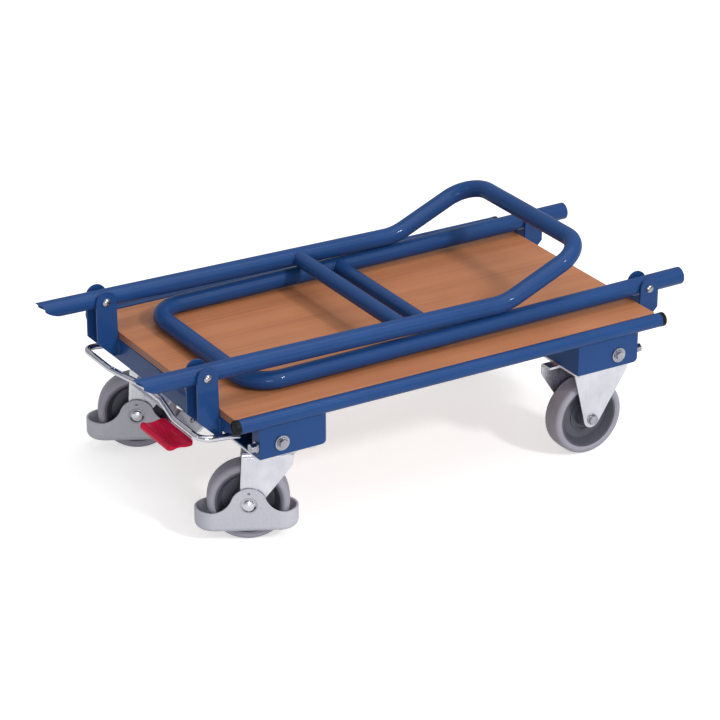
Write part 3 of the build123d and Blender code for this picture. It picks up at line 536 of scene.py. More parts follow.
class Bench:
    """Hand tools for modelling: round stock, choosing by place, cuts, modifiers, copies and joins."""

    SAME_PLACE = 1e-6
    FLAT_ANGLE = 0.3

    @staticmethod
    def hold(*pieces: Piece) -> None:
        """Selects some pieces alone.

        Args:
            pieces: The pieces; the first one becomes active.
        """
        bpy.ops.object.select_all(action="DESELECT")
        for piece in pieces:
            piece.select_set(True)
        bpy.context.view_layer.objects.active = pieces[0]

    @staticmethod
    @contextmanager
    def editing(piece: Piece, everything: bool = False) -> Iterator[None]:
        """Edit mode on one piece, and back.

        Args:
            piece: The piece to edit.
            everything: Whether all of its mesh is selected first.

        Yields:
            Nothing; the block runs in edit mode.
        """
        Bench.hold(piece)
        bpy.ops.object.mode_set(mode="EDIT")
        if everything:
            bpy.ops.mesh.select_all(action="SELECT")
        yield
        bpy.ops.object.mode_set(mode="OBJECT")

    @staticmethod
    def rod(radius: float, length: float, segments: int, middle: Vector, axis: Axis) -> Piece:
        """Adds round stock to be shaped.

        Args:
            radius: Its radius.
            length: Its length.
            segments: Facets round it.
            middle: Its middle.
            axis: The way it lies.

        Returns:
            The stock.
        """
        bpy.ops.mesh.primitive_cylinder_add(
            vertices=segments, radius=radius, depth=length, location=middle, rotation=axis.value
        )
        Bench.place(bpy.context.object)
        return bpy.context.object

    @staticmethod
    def clear(piece: Piece) -> None:
        """Deselects all of a mesh."""
        for group in (piece.data.vertices, piece.data.edges, piece.data.polygons):
            group.foreach_set("select", [False] * len(group))

    @staticmethod
    def pick_faces(piece: Piece, wanted: Callable[[bpy.types.MeshPolygon], bool]) -> None:
        """Selects faces for the next edit.

        Args:
            piece: The piece, in object mode.
            wanted: Says whether a face is taken.
        """
        bpy.context.tool_settings.mesh_select_mode = (False, False, True)
        Bench.clear(piece)
        for face in piece.data.polygons:
            face.select = wanted(face)

    @staticmethod
    def pick_edges(piece: Piece, wanted: Callable[[Vector, Vector], bool]) -> None:
        """Selects edges for the next edit.

        Args:
            piece: The piece, in object mode.
            wanted: Says from its two ends whether an edge is taken.
        """
        bpy.context.tool_settings.mesh_select_mode = (False, True, False)
        Bench.clear(piece)
        points = piece.data.vertices
        for edge in piece.data.edges:
            edge.select = wanted(*(points[index].co for index in edge.vertices))

    @staticmethod
    def bevel(piece: Piece, width: float, segments: int) -> None:
        """Bevels the edges that are selected."""
        with Bench.editing(piece):
            bpy.ops.mesh.bevel(offset=width, segments=segments, affect="EDGES")

    @staticmethod
    def extrude(move: Triple) -> None:
        """Extrudes what is selected in edit mode."""
        bpy.ops.mesh.extrude_region_move(TRANSFORM_OT_translate={"value": move})

    @staticmethod
    def step_in(inset: float, move: Triple) -> None:
        """Insets the faces that are selected in edit mode, and extrudes what is left inside."""
        bpy.ops.mesh.inset(thickness=inset)
        Bench.extrude(move)

    @staticmethod
    def cut(piece: Piece, point: Vector | Triple, normal: Vector | Triple, **sides: bool) -> None:
        """Cuts all of a piece by a plane; sides says what is filled and cleared, as bisect names it."""
        with Bench.editing(piece, everything=True):
            bpy.ops.mesh.bisect(plane_co=point, plane_no=normal, **sides)

    @staticmethod
    def modify(piece: Piece, kind: str, **values: object) -> None:
        """Adds a modifier, sets it and applies it.

        Args:
            piece: The piece to change.
            kind: The modifier's type.
            values: The modifier's settings.
        """
        Bench.hold(piece)
        modifier = piece.modifiers.new(kind.lower(), kind)
        for name, value in values.items():
            setattr(modifier, name, value)
        bpy.ops.object.modifier_apply(modifier=modifier.name)

    @staticmethod
    def break_edges(piece: Piece, width: float, angle: float = 40.0, segments: int = 2) -> None:
        """Rounds the sharp edges of a piece.

        Args:
            piece: The piece to change.
            width: How far the rounding reaches from an edge.
            angle: The least angle of an edge that is rounded, in degrees.
            segments: Facets across the rounding.
        """
        Bench.modify(
            piece,
            "BEVEL",
            width=width,
            segments=segments,
            limit_method="ANGLE",
            angle_limit=math.radians(angle),
            use_clamp_overlap=False,
            miter_outer="MITER_ARC",
        )

    @staticmethod
    def place(piece: Piece) -> None:
        """Puts the object's place into its mesh."""
        Bench.hold(piece)
        bpy.ops.object.transform_apply(location=True, rotation=True, scale=True)

    @staticmethod
    def copy(piece: Piece, move: Matrix) -> Piece:
        """Copies a piece with its own mesh, moved.

        Args:
            piece: The piece to copy.
            move: Where the copy goes.

        Returns:
            The copy.
        """
        Bench.hold(piece)
        bpy.ops.object.duplicate(linked=False)
        made = bpy.context.object
        made.data.transform(move)
        return made

    @staticmethod
    def join(pieces: list[Piece]) -> Piece:
        """Joins several pieces into the first.

        Args:
            pieces: The pieces.

        Returns:
            The joined piece.
        """
        Bench.hold(*pieces)
        bpy.ops.object.join()
        return bpy.context.object

    @staticmethod
    def outward(piece: Piece) -> None:
        """Turns all faces outwards."""
        with Bench.editing(piece, everything=True):
            bpy.ops.mesh.normals_make_consistent(inside=False)

    @staticmethod
    def smooth(piece: Piece, angle: float = 35.0) -> None:
        """Smooths the shading, with flat faces kept flat.

        Args:
            piece: The piece to change.
            angle: The least angle of an edge that stays sharp, in degrees.
        """
        Bench.hold(piece)
        bpy.ops.object.shade_smooth_by_angle(angle=math.radians(angle))
        Bench.modify(piece, "WEIGHTED_NORMAL", keep_sharp=True)

    @staticmethod
    def free_piece(name: str, mesh: bpy.types.Mesh) -> Piece:
        """Puts a mesh into the scene.

        Args:
            name: The piece's name.
            mesh: Its mesh.

        Returns:
            The piece.
        """
        piece = bpy.data.objects.new(name, mesh)
        bpy.context.scene.collection.objects.link(piece)
        return piece

    @staticmethod
    def node_copy(node: str) -> Piece:
        """Copies a CAD node's mesh to a free piece, merged and with its flats made whole.

        Args:
            node: The node's name.

        Returns:
            The copy.
        """
        mesh = frame["nodes"][node].data.copy()
        mesh.materials.clear()
        piece = Bench.free_piece(node, mesh)
        with Bench.editing(piece, everything=True):
            bpy.ops.mesh.remove_doubles(threshold=Bench.SAME_PLACE)
            bpy.ops.mesh.dissolve_limited(angle_limit=math.radians(Bench.FLAT_ANGLE))
            bpy.ops.mesh.customdata_custom_splitnormals_clear()
        return piece


@dataclass
class SubAssembly:
    """What every sub-assembly has: the finished materials, and a way to fit its pieces.

    A sub-assembly's lengths are given in MM. Its other numbers are counts, shares, or angles in degrees.
    """

    materials: dict[Slot, Material]
    fastener_steel: Material

    def fit(
        self, piece: Piece, name: str, slot: Slot, body: str, *nodes: str, finish: Material | None = None
    ) -> None:
        """Dresses a piece and fastens it to its body.

        Args:
            piece: The finished mesh.
            name: The piece's name.
            slot: Its slot.
            body: The body that it moves with.
            nodes: The CAD nodes that it stands for.
            finish: Its material, where it isn't the slot's.
        """
        piece.name = name
        piece.data.name = name
        piece.data.materials.clear()
        piece.data.materials.append(finish or self.materials[slot])
        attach(piece, body)
        if nodes:
            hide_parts(*nodes)
        LOG.info("fitted %s to %s", name, body)


@dataclass
class RoundedEdges(SubAssembly):
    """The CAD pieces whose bare edges are broken, as pressed, cast and moulded ones are."""

    sheet: float = 0.6 * MM
    moulding: float = 1.1 * MM
    fastener: float = 0.45 * MM
    tube: float = 0.5 * MM

    def build(self) -> None:
        """Rounds the edges of each kind of piece."""
        kinds = (
            (self.sheet, ("handle_post", "end_angle", "castor_box", "brake_bracket", "pedal_lever")),
            (self.sheet, ("rigid_fork", "swivel_fork", "swivel_plate")),
            (self.moulding, ("foot_guard",)),
            (
                self.fastener,
                ("pivot_nuts", "box_side", "box_end", "rigid_axle_b", "rigid_axle_n", "swivel_axle_n"),
            ),
            (self.tube, ("lower_handle_tube",)),
        )
        for width, starts in kinds:
            for subpart in frame["record"]["subparts"]:
                if subpart["node"].startswith(starts):
                    self.soften(subpart["node"], Slot(subpart["material_slot"]), width)

    def soften(self, node: str, slot: Slot, width: float) -> None:
        """Replaces one node by its copy with rounded edges.

        Args:
            node: The node's name.
            slot: Its slot.
            width: How far the rounding reaches from an edge.
        """
        piece = Bench.node_copy(node)
        Bench.break_edges(piece, width)
        Bench.smooth(piece)
        finish = self.fastener_steel if width == self.fastener else None
        self.fit(piece, f"{node}_rounded", slot, self.body_of(node), node, finish=finish)

    @staticmethod
    def body_of(node: str) -> str:
        """The body that carries a node."""
        return next(body for body, nodes in frame["record"]["behaviour"]["bodies"].items() if node in nodes)


@dataclass
class HandleTails(SubAssembly):
    """The upper handle's tube, with its two tails scooped to a short tongue and a full lower lip.

    The scoop's curves run through the throat and along the lip. Their control points are shares of the
    throat or the lip, and of the tube's radius.
    """

    length: float = 62.0 * MM
    spare: float = 4.0 * MM
    wall: float = 2.0 * MM
    segments: int = 96
    edge: float = 0.45 * MM
    tongue: float = 1.0 * MM
    throat: float = 9.0 * MM
    throat_top: Pair = (0.7, 0.85)
    throat_turn: float = 0.6
    throat_foot: float = 0.1
    lip: float = 46.0 * MM
    lip_start: Pair = (1.45, -0.12)
    lip_sweep: Pair = (0.52, -0.7)
    lip_end: float = -1.02
    curve_steps: int = 14
    cutter_reach: float = 2.0

    def build(self) -> None:
        """Cuts the tails off a copy of the tube and sets new ones on."""
        joint = next(joint for joint in frame["joints"] if joint["name"] == "upper_handle_fold")
        pivot = Vector(joint["pos_m"])
        low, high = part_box("upper_handle_tube")
        cross_low, cross_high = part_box("upper_handle_crossbar")
        along = (cross_low + cross_high) / 2 - pivot
        along.y = 0.0
        along.normalize()
        lane = lane_of("handle_post_front_far")
        tip = (low.x - pivot.x) / along.x
        tube = Bench.node_copy("upper_handle_tube")
        Bench.break_edges(tube, self.edge)
        Bench.cut(tube, pivot + along * (tip + self.length), along, use_fill=True, clear_inner=True)
        Bench.smooth(tube)
        tail = self.tail(high.y - lane)
        turn = Vector(ALONG_X).rotation_difference(along).to_matrix().to_4x4()
        seat = Matrix.Translation(pivot + along * tip) @ turn
        ends = [Bench.copy(tail, Matrix.Translation((0.0, side.value * lane, 0.0)) @ seat) for side in Side]
        bpy.data.objects.remove(tail)
        handle = Bench.join([tube, *ends])
        self.fit(handle, "upper_handle_tube_scooped", Slot.PAINT, "upper_handle", "upper_handle_tube")

    def outline(self, radius: float) -> list[Pair]:
        """The scoop's outline in side view, from the tongue's tip along the cut and back below it.

        Args:
            radius: The tube's outer radius.

        Returns:
            Points as distance behind the tip and height over the tube's middle.
        """
        top = radius - self.tongue
        foot = (self.throat, self.throat_foot * radius)
        end = (self.lip, self.lip_end * radius)
        bends = (
            (
                (0.0, top),
                (self.throat_top[0] * self.throat, self.throat_top[1] * radius),
                (self.throat, self.throat_turn * radius),
                foot,
            ),
            (
                foot,
                (self.lip_start[0] * self.throat, self.lip_start[1] * radius),
                (self.lip_sweep[0] * self.lip, self.lip_sweep[1] * radius),
                end,
            ),
        )
        shares = [step / self.curve_steps for step in range(self.curve_steps)]
        points = [self.on_curve(bend, share) for bend in bends for share in shares]
        below = -self.cutter_reach * radius
        return [*points, end, (self.lip, below), (-self.lip, below), (-self.lip, top)]

    @staticmethod
    def on_curve(bend: tuple[Pair, Pair, Pair, Pair], share: float) -> Pair:
        """A point of a cubic curve.

        Args:
            bend: The curve's four control points.
            share: How far along, 0 to 1.

        Returns:
            The point.
        """
        rest = 1.0 - share
        weights = (rest**3, 3 * rest * rest * share, 3 * rest * share * share, share**3)
        return tuple(sum(weight * point[axis] for weight, point in zip(weights, bend)) for axis in (0, 1))

    def tail(self, radius: float) -> Piece:
        """Models one tail along X with its tip at the origin.

        Args:
            radius: The tube's outer radius.

        Returns:
            The tail.
        """
        stock = self.length + self.spare
        piece = Bench.rod(radius, stock, self.segments, Vector((stock / 2, 0.0, 0.0)), Axis.X)
        Bench.pick_faces(piece, lambda face: abs(face.normal.x) > SQUARE)
        with Bench.editing(piece):
            bpy.ops.mesh.inset(thickness=self.wall)
            bpy.ops.mesh.delete(type="FACE")
            bpy.ops.mesh.select_mode(type="EDGE")
            bpy.ops.mesh.select_all(action="DESELECT")
            bpy.ops.mesh.select_non_manifold()
            bpy.ops.mesh.bridge_edge_loops()
        Bench.outward(piece)
        cutter = self.cutter(radius)
        Bench.modify(piece, "BOOLEAN", operation="DIFFERENCE", object=cutter, solver="EXACT")
        bpy.data.objects.remove(cutter)
        Bench.break_edges(piece, self.edge)
        Bench.cut(piece, (self.length, 0.0, 0.0), ALONG_X, use_fill=True, clear_outer=True)
        Bench.smooth(piece)
        return piece

    def cutter(self, radius: float) -> Piece:
        """Models the block that scoops a tail.

        Args:
            radius: The tube's outer radius.

        Returns:
            The block.
        """
        reach = self.cutter_reach * radius
        points = [(x, -reach, z) for x, z in self.outline(radius)]
        mesh = bpy.data.meshes.new("scoop")
        mesh.from_pydata(points, [], [list(range(len(points)))])
        piece = Bench.free_piece("scoop", mesh)
        with Bench.editing(piece, everything=True):
            Bench.extrude((0.0, 2 * reach, 0.0))
        Bench.outward(piece)
        return piece


@dataclass
class TubeCaps(SubAssembly):
    """The black caps of the side tubes: a rounded rim, a sunk ring, and a plug in the tube."""

    segments: int = 48
    rim: float = 1.0 * MM
    rim_segments: int = 3
    rim_reach: float = 0.98
    rim_front: float = 0.4
    ring_in: float = 2.4 * MM
    ring_width: float = 2.0 * MM
    ring_depth: float = 0.8 * MM
    plug_in: float = 2.8 * MM
    plug_length: float = 9.0 * MM
    overlap: float = 3.5 * MM
    oversize: float = 0.25 * MM
    proud: float = 1.0 * MM

    def build(self) -> None:
        """Models one cap and copies it to the other three tube ends."""
        low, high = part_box("side_tube_near")
        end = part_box("tube_end_caps")[1].x + self.proud
        radius = (high.z - low.z) / 2 + self.oversize
        head = end - high.x + self.overlap
        middle = (low + high) / 2
        middle.x = end - head / 2
        first = self.cap(middle, radius, head)
        caps = [first, Bench.copy(first, Matrix.Translation((0.0, -2 * middle.y, 0.0)))]
        caps += [Bench.copy(cap, Matrix.Rotation(math.pi, 4, "Z")) for cap in caps]
        self.fit(Bench.join(caps), "tube_caps", Slot.CAP, "chassis", "tube_end_caps")

    def cap(self, middle: Vector, radius: float, head: float) -> Piece:
        """Models the cap at the rear end of the near tube.

        Args:
            middle: The middle of its head.
            radius: The head's radius.
            head: The head's thickness.

        Returns:
            The cap.
        """
        piece = Bench.rod(radius, head, self.segments, middle, Axis.X)
        Bench.pick_faces(piece, lambda face: face.normal.x > SQUARE)
        with Bench.editing(piece):
            Bench.step_in(self.ring_in, (-self.ring_depth, 0.0, 0.0))
            Bench.step_in(self.ring_width, (self.ring_depth, 0.0, 0.0))
        Bench.pick_faces(piece, lambda face: face.normal.x < -SQUARE)
        with Bench.editing(piece):
            Bench.step_in(self.plug_in, (-self.plug_length, 0.0, 0.0))
        Bench.pick_edges(piece, lambda *ends: all(self.on_rim(end, middle, radius, head) for end in ends))
        Bench.bevel(piece, self.rim, self.rim_segments)
        Bench.smooth(piece)
        return piece

    def on_rim(self, point: Vector, middle: Vector, radius: float, head: float) -> bool:
        """Says whether a point of a cap with this middle, radius and thickness is on its outer rim."""
        reach = math.hypot(point.y - middle.y, point.z - middle.z)
        return reach > radius * self.rim_reach and point.x > middle.x + head * self.rim_front


@dataclass
class PedalPad(SubAssembly):
    """The moulded red pad: a thick front bead, a dip, a raised back, and low anti-slip ribs."""

    thickness: float = 5.0 * MM
    corner: float = 7.5 * MM
    corner_segments: int = 7
    edge: float = 2.1 * MM
    edge_angle: float = 55.0
    edge_segments: int = 4
    smooth_angle: float = 50.0
    hollow: float = 2.4 * MM
    hollow_back: float = 18.0 * MM
    hollow_reach: float = 8.0 * MM
    cuts: int = 16
    bead_back: float = 6.0 * MM
    bead_rise: float = 4.2 * MM
    bead_reach: float = 6.0 * MM
    back_rise: float = 3.0 * MM
    back_start: float = 0.45
    rib_count: int = 4
    rib_segments: int = 16
    rib_radius: float = 1.0 * MM
    rib_round: float = 0.7
    rib_round_segments: int = 3
    rib_length: float = 62.0 * MM
    rib_pitch: float = 5.5 * MM
    rib_first: float = 17.5 * MM

    def build(self) -> None:
        """Models the pad and its ribs."""
        low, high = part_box("brake_pedal")
        depth = high.x - low.x
        pad = self.pad(low, high)
        first = self.rib(low, high)
        ribs = [first]
        for step in range(1, self.rib_count):
            shift = step * self.rib_pitch
            rise = self.rise(self.rib_first + shift, depth) - self.rise(self.rib_first, depth)
            ribs.append(Bench.copy(first, Matrix.Translation((shift, 0.0, rise))))
        self.fit(Bench.join([pad, *ribs]), "pedal_pad", Slot.PEDAL, "brake_pedal", "brake_pedal")

    def rise(self, back: float, depth: float) -> float:
        """The pad's height over its flat, by the distance from its front.

        Args:
            back: Distance from the front edge.
            depth: The pad's whole depth.

        Returns:
            The height.
        """
        bead = self.bead_rise * math.exp(-(((back - self.bead_back) / self.bead_reach) ** 2))
        slope = max(0.0, (back / depth - self.back_start) / (1 - self.back_start))
        return bead + self.back_rise * slope * slope * (3 - 2 * slope)

    def arch(self, back: float) -> float:
        """The height of the hollow under the pad, by the distance from its front."""
        return self.hollow * math.exp(-(((back - self.hollow_back) / self.hollow_reach) ** 2))

    def pad(self, low: Vector, high: Vector) -> Piece:
        """Models the pad.

        Args:
            low: The node's lowest corner.
            high: The node's highest corner.

        Returns:
            The pad.
        """
        size = high - low
        middle = (low + high) / 2
        middle.z = low.z + self.thickness / 2
        bpy.ops.mesh.primitive_cube_add(size=1.0, location=middle, scale=(size.x, size.y, self.thickness))
        piece = bpy.context.object
        Bench.place(piece)
        Bench.pick_edges(piece, lambda one, two: (one - two).xy.length < Bench.SAME_PLACE)
        Bench.bevel(piece, self.corner, self.corner_segments)
        for step in range(1, self.cuts):
            Bench.cut(piece, (low.x + size.x * step / self.cuts, 0.0, 0.0), ALONG_X)
        for vertex in piece.data.vertices:
            share = (vertex.co.z - low.z) / self.thickness
            back = vertex.co.x - low.x
            vertex.co.z += share * self.rise(back, size.x) + (1.0 - share) * self.arch(back)
        Bench.break_edges(piece, self.edge, self.edge_angle, self.edge_segments)
        Bench.smooth(piece, self.smooth_angle)
        return piece

    def rib(self, low: Vector, high: Vector) -> Piece:
        """Models the front rib, half sunk in the pad.

        Args:
            low: The node's lowest corner.
            high: The node's highest corner.

        Returns:
            The rib.
        """
        height = low.z + self.thickness + self.rise(self.rib_first, high.x - low.x)
        middle = Vector((low.x + self.rib_first, (low.y + high.y) / 2, height))
        piece = Bench.rod(self.rib_radius, self.rib_length, self.rib_segments, middle, Axis.Y)
        Bench.pick_faces(piece, lambda face: abs(face.normal.y) > SQUARE)
        Bench.bevel(piece, self.rib_radius * self.rib_round, self.rib_round_segments)
        Bench.smooth(piece)
        return piece


@dataclass
class LeverScrew(SubAssembly):
    """The pan-head screw on the slope of the pedal lever, its foot placed from the lever's lowest corner."""

    slope: float = 39.0
    foot: Triple = (55.0 * MM, 28.0 * MM, 24.3 * MM)
    segments: int = 36
    radius: float = 4.6 * MM
    height: float = 2.6 * MM
    lift_share: float = 0.4
    crown: float = 1.5 * MM
    crown_segments: int = 4
    crown_flat: float = 0.999
    socket: float = 1.9 * MM
    socket_depth: float = 1.3 * MM

    def build(self) -> None:
        """Models the screw and sets it on the slope."""
        piece = Bench.rod(self.radius, self.height, self.segments, Vector(), Axis.Z)
        Bench.pick_faces(piece, lambda face: face.normal.z > SQUARE)
        Bench.bevel(piece, self.crown, self.crown_segments)
        Bench.pick_faces(piece, lambda face: face.normal.z > self.crown_flat)
        with Bench.editing(piece):
            Bench.step_in(self.radius - self.crown - self.socket, (0.0, 0.0, -self.socket_depth))
        Bench.smooth(piece)
        tilt = Matrix.Rotation(math.radians(-self.slope), 4, "Y")
        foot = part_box("pedal_lever")[0] + Vector(self.foot)
        seat = foot + tilt @ Vector((0.0, 0.0, self.height * self.lift_share))
        piece.data.transform(Matrix.Translation(seat) @ tilt)
        self.fit(piece, "lever_screw", Slot.ZINC, "brake_pedal", finish=self.fastener_steel)


@dataclass
class WeldBeads(SubAssembly):
    """The painted weld beads: saddles round the crossbars' ends, and runs along boxes and posts."""

    bead: float = 1.5 * MM
    bead_out: float = 0.3
    bead_segments: int = 10
    ring_segments: int = 72
    ring_ripple: float = 0.12
    ring_reach: float = 0.98
    run: float = 1.7 * MM
    run_sunk: float = 0.2
    run_round: float = 0.7
    run_round_segments: int = 2
    ripple: float = 0.16
    ripple_cuts: int = 4
    pitch: float = 3.2 * MM
    smooth_angle: float = 60.0

    def build(self) -> None:
        """Welds the crossbars into the handles, and the boxes and posts to the frame."""
        for handle in ("upper_handle", "lower_handle"):
            rings = [self.saddle(handle, side) for side in Side]
            self.fit(Bench.join(rings), f"{handle}_welds", Slot.PAINT, handle)
        runs = []
        for end in End:
            for side in Side:
                runs.append(self.box_run(end, side))
                runs += self.post_runs(end, side)
        self.fit(Bench.join(runs), "frame_welds", Slot.PAINT, "chassis")

    def saddle(self, handle: str, side: Side) -> Piece:
        """Models the bead round one end of a crossbar, bent to the leg's round.

        Args:
            handle: The handle's body.
            side: The end of the crossbar.

        Returns:
            The bead.
        """
        low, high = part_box(f"{handle}_crossbar")
        bar = (high.x - low.x) / 2
        leg_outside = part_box(f"{handle}_tube")[1].y
        leg = leg_outside - lane_of("handle_post_rear_far")
        middle = (low + high) / 2
        bpy.ops.mesh.primitive_torus_add(
            major_radius=bar + self.bead_out * self.bead,
            minor_radius=self.bead,
            major_segments=self.ring_segments,
            minor_segments=self.bead_segments,
            rotation=Axis.Y.value,
        )
        piece = bpy.context.object
        Bench.place(piece)
        for vertex in piece.data.vertices:
            turn = math.atan2(vertex.co.z, vertex.co.x)
            wave = 1.0 + self.ripple * self.ring_ripple * math.sin(turn * math.tau * bar / self.pitch)
            vertex.co.x *= wave
            vertex.co.z *= wave
            depth = min(abs(vertex.co.z), leg * self.ring_reach)
            fall = leg - math.sqrt(leg * leg - depth * depth)
            vertex.co.y = side.value * (leg_outside - 2 * leg + fall + vertex.co.y)
        piece.data.transform(Matrix.Translation((middle.x, 0.0, middle.z)))
        Bench.outward(piece)
        Bench.smooth(piece, self.smooth_angle)
        return piece

    def line(self, start: Vector, end: Vector) -> Piece:
        """Models a straight bead with rounded ends and ripples.

        Args:
            start: One end.
            end: The other end.

        Returns:
            The bead.
        """
        length = (end - start).length
        piece = Bench.rod(self.run, length, self.bead_segments, Vector(), Axis.Z)
        Bench.pick_faces(piece, lambda face: abs(face.normal.z) > SQUARE)
        Bench.bevel(piece, self.run * self.run_round, self.run_round_segments)
        Bench.pick_edges(piece, lambda one, two: abs(one.z - two.z) > length / 2)
        with Bench.editing(piece):
            bpy.ops.mesh.subdivide(number_cuts=int(length / self.pitch * self.ripple_cuts))
        for vertex in piece.data.vertices:
            wave = 1.0 + self.ripple * math.sin(vertex.co.z / self.pitch * math.tau)
            vertex.co.x *= wave
            vertex.co.y *= wave
        turn = (end - start).to_track_quat("Z", "Y").to_matrix().to_4x4()
        piece.data.transform(Matrix.Translation((start + end) / 2) @ turn)
        Bench.smooth(piece, self.smooth_angle)
        return piece

    def box_run(self, end: End, side: Side) -> Piece:
        """The bead between a castor box's outer wall and the side tube.

        Args:
            end: The box's end of the trolley.
            side: The box's side.

        Returns:
            The bead.
        """
        low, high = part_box(f"castor_box_{end.name}_{side.name}".lower())
        tube_low, tube_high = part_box(f"side_tube_{side.name}".lower())
        radius = (tube_high.z - tube_low.z) / 2
        wall = max(abs(low.y), abs(high.y))
        tube = (abs(tube_low.y) + abs(tube_high.y)) / 2
        height = tube_low.z + radius - math.sqrt(radius**2 - (wall - tube) ** 2)
        across = side.value * (wall - self.run_sunk * self.run)
        start = Vector((low.x + self.run, across, height))
        return self.line(start, Vector((high.x - self.run, across, height)))

    def post_runs(self, end: End, side: Side) -> list[Piece]:
        """The upright beads between a post's two sides and the end angle.

        Args:
            end: The post's end of the trolley.
            side: The post's side.

        Returns:
            The two beads.
        """
        low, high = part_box(f"handle_post_{end.name}_{side.name}".lower())
        angle_low, angle_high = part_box(f"end_angle_{end.name}".lower())
        face = angle_low.x if end is End.FRONT else angle_high.x
        bottom = max(low.z, angle_low.z) + self.run
        top = angle_high.z - self.run
        return [self.line(Vector((face, y, bottom)), Vector((face, y, top))) for y in (low.y, high.y)]


@dataclass(frozen=True)
class Stand:
    """A place round the trolley, in degrees from straight before its near side, and metres."""

    azimuth: float
    elevation: float
    distance: float

    def set_up(self, name: str, data: bpy.types.Light | bpy.types.Camera, aim: Vector) -> Piece:
        """Stands a lamp or a camera here.

        Args:
            name: Its name.
            data: The lamp or the camera.
            aim: What it is turned to.

        Returns:
            Its object.
        """
        turn = math.radians(self.azimuth)
        tilt = math.radians(self.elevation)
        way = Vector((math.sin(turn) * math.cos(tilt), -math.cos(turn) * math.cos(tilt), math.sin(tilt)))
        holder = bpy.data.objects.new(name, data)
        holder.location = aim + way * self.distance
        holder.rotation_euler = way.to_track_quat("Z", "Y").to_euler()
        bpy.context.scene.collection.objects.link(holder)
        return holder


@dataclass(frozen=True)
class Lamp:
    """A square lamp: its name, its place, its side in metres and its power in watts."""

    name: str
    stand: Stand
    side: float
    power: float


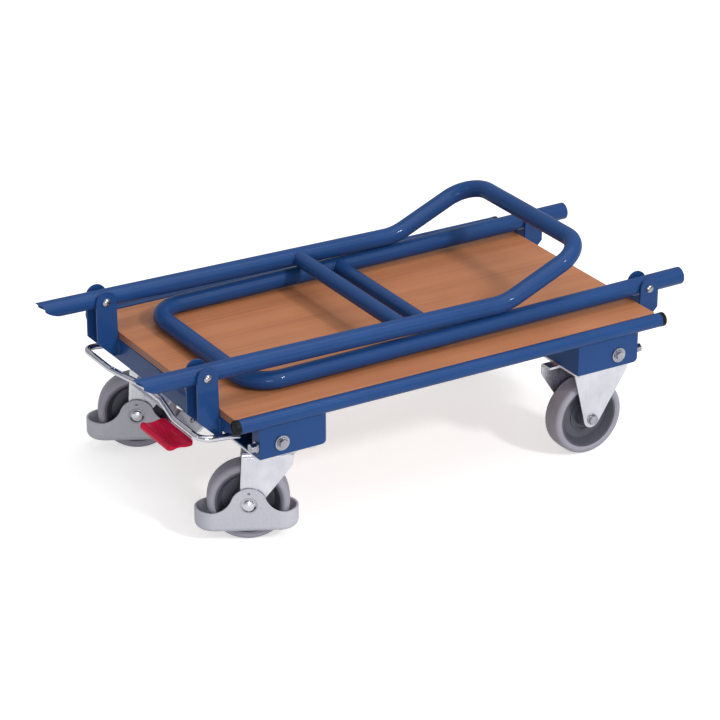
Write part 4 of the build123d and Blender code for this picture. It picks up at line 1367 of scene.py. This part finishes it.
@dataclass
class Studio:
    """The floor, the light and the camera at the photograph's view."""

    aim: Triple = (-0.0247, 0.0059, 0.152)
    view: Stand = Stand(azimuth=-31.0954, elevation=24.479, distance=4.7497)
    focal_pixels: float = 3028.58
    frame_pixels: float = 720.0
    sensor: float = 36.0
    far_clip: float = 200.0
    sky_front: float = 0.4
    sky_rear: float = 0.74
    horizon: float = 0.25
    zenith: float = 0.6
    zenith_from: float = 0.6
    floor_side: float = 60.0
    floor_tone: float = 0.72
    floor_lift: float = 0.56
    mirror_share: float = 0.5
    lamps: tuple[Lamp, ...] = (
        Lamp("key", Stand(azimuth=19.0, elevation=36.0, distance=8.0), side=0.8, power=262.0),
        Lamp("side", Stand(azimuth=-85.0, elevation=30.0, distance=3.4), side=0.3, power=4.0),
        Lamp("fill", Stand(azimuth=-22.0, elevation=12.0, distance=6.0), side=1.6, power=78.0),
        Lamp("overhead", Stand(azimuth=40.0, elevation=78.0, distance=3.0), side=2.4, power=32.0),
    )

    def build(self) -> None:
        """Builds the studio in order."""
        bpy.context.scene.view_settings.view_transform = "Standard"
        self.world()
        self.floor()
        self.light()
        self.camera()

    def world(self) -> None:
        """A soft sky, dimmer to the front and at the horizon, and plain white where the camera sees it."""
        world = bpy.data.worlds.new("studio")
        bpy.context.scene.world = world
        desk = NodeDesk(emptied(world))
        path = desk.add("LightPath")
        way = desk.add("SeparateXYZ", Vector=desk.add("TexCoord").outputs["Generated"])
        slope = desk.remap(way.outputs["Z"], (0.0, self.zenith_from), (self.horizon, self.zenith))
        mirrored = desk.math("MULTIPLY", slope, path.outputs["Is Glossy Ray"])
        lean = desk.remap(way.outputs["X"], (-1.0, 1.0), (self.sky_front, self.sky_rear))
        even = desk.math("MULTIPLY", path.outputs["Is Diffuse Ray"], lean)
        strength = desk.math("MAXIMUM", desk.math("ADD", mirrored, even), path.outputs["Is Camera Ray"])
        sky = desk.add("Background", Color=WHITE, Strength=strength)
        desk.feed(desk.add("OutputWorld"), "Surface", sky.outputs["Background"])

    def floor(self) -> None:
        """A pale floor that keeps the shadow, stays white around it, and is clear from below."""
        bpy.ops.mesh.primitive_plane_add(size=self.floor_side)
        plane = bpy.context.object
        plane.name = "studio_floor"
        made = bpy.data.materials.new("studio_floor")
        desk = NodeDesk(emptied(made))
        path = desk.add("LightPath")
        mirrored = desk.math("MULTIPLY", path.outputs["Is Glossy Ray"], self.floor_lift * self.mirror_share)
        direct = desk.math("MULTIPLY", path.outputs["Is Camera Ray"], self.floor_lift)
        matt = desk.add("BsdfDiffuse", Color=(self.floor_tone, self.floor_tone, self.floor_tone, 1.0))
        lift = desk.add("Emission", Color=WHITE, Strength=desk.math("ADD", mirrored, direct))
        both = desk.add("AddShader")
        desk.feed(both, 0, matt.outputs["BSDF"])
        desk.feed(both, 1, lift.outputs["Emission"])
        see_through = desk.add("MixShader", Fac=desk.add("NewGeometry").outputs["Backfacing"])
        desk.feed(see_through, 1, both.outputs["Shader"])
        desk.feed(see_through, 2, desk.add("BsdfTransparent").outputs["BSDF"])
        desk.feed(desk.add("OutputMaterial"), "Surface", see_through.outputs["Shader"])
        plane.data.materials.append(made)

    def light(self) -> None:
        """A small bright key lamp, a faint one at the front end, a broad fill and a soft one overhead."""
        for lamp in self.lamps:
            data = bpy.data.lights.new(lamp.name, "AREA")
            data.size = lamp.side
            data.energy = lamp.power
            lamp.stand.set_up(lamp.name, data, Vector(self.aim))

    def camera(self) -> None:
        """Sets the camera where the photograph was taken from."""
        lens = bpy.data.cameras.new("photo_view")
        lens.sensor_width = self.sensor
        lens.lens = self.focal_pixels / self.frame_pixels * self.sensor
        lens.clip_end = self.far_clip
        bpy.context.scene.camera = self.view.set_up("photo_view", lens, Vector(self.aim))


def dress_frame(materials: dict[Slot, Material], special: dict[str, Material]) -> None:
    """Gives every CAD node the finish of its slot, or its own.

    Args:
        materials: The finished material of each slot.
        special: The materials of single nodes.
    """
    for subpart in frame["record"]["subparts"]:
        name = subpart["node"]
        node = frame["nodes"][name]
        node.data.materials.clear()
        node.data.materials.append(special.get(name, materials[Slot(subpart["material_slot"])]))
        LOG.info("dressed %s as %s", name, node.data.materials[0].name)


def main() -> None:
    """Builds the trolley's looks and the studio."""
    logging.basicConfig(level=logging.INFO, format="%(name)s: %(message)s")
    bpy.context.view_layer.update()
    groups = SurfaceGroups()
    materials = {slot: finish.material(groups) for slot, finish in FINISHES.items()}
    fastener_steel = FASTENER_STEEL.material(groups)
    dress_frame(materials, {"lock_bail": BRIGHT_ROD.material(groups), "pivot_bolts": fastener_steel})
    for kind in (RoundedEdges, HandleTails, TubeCaps, PedalPad, LeverScrew, WeldBeads):
        kind(materials, fastener_steel).build()
    Studio().build()


if __name__ == "__main__":
    main()
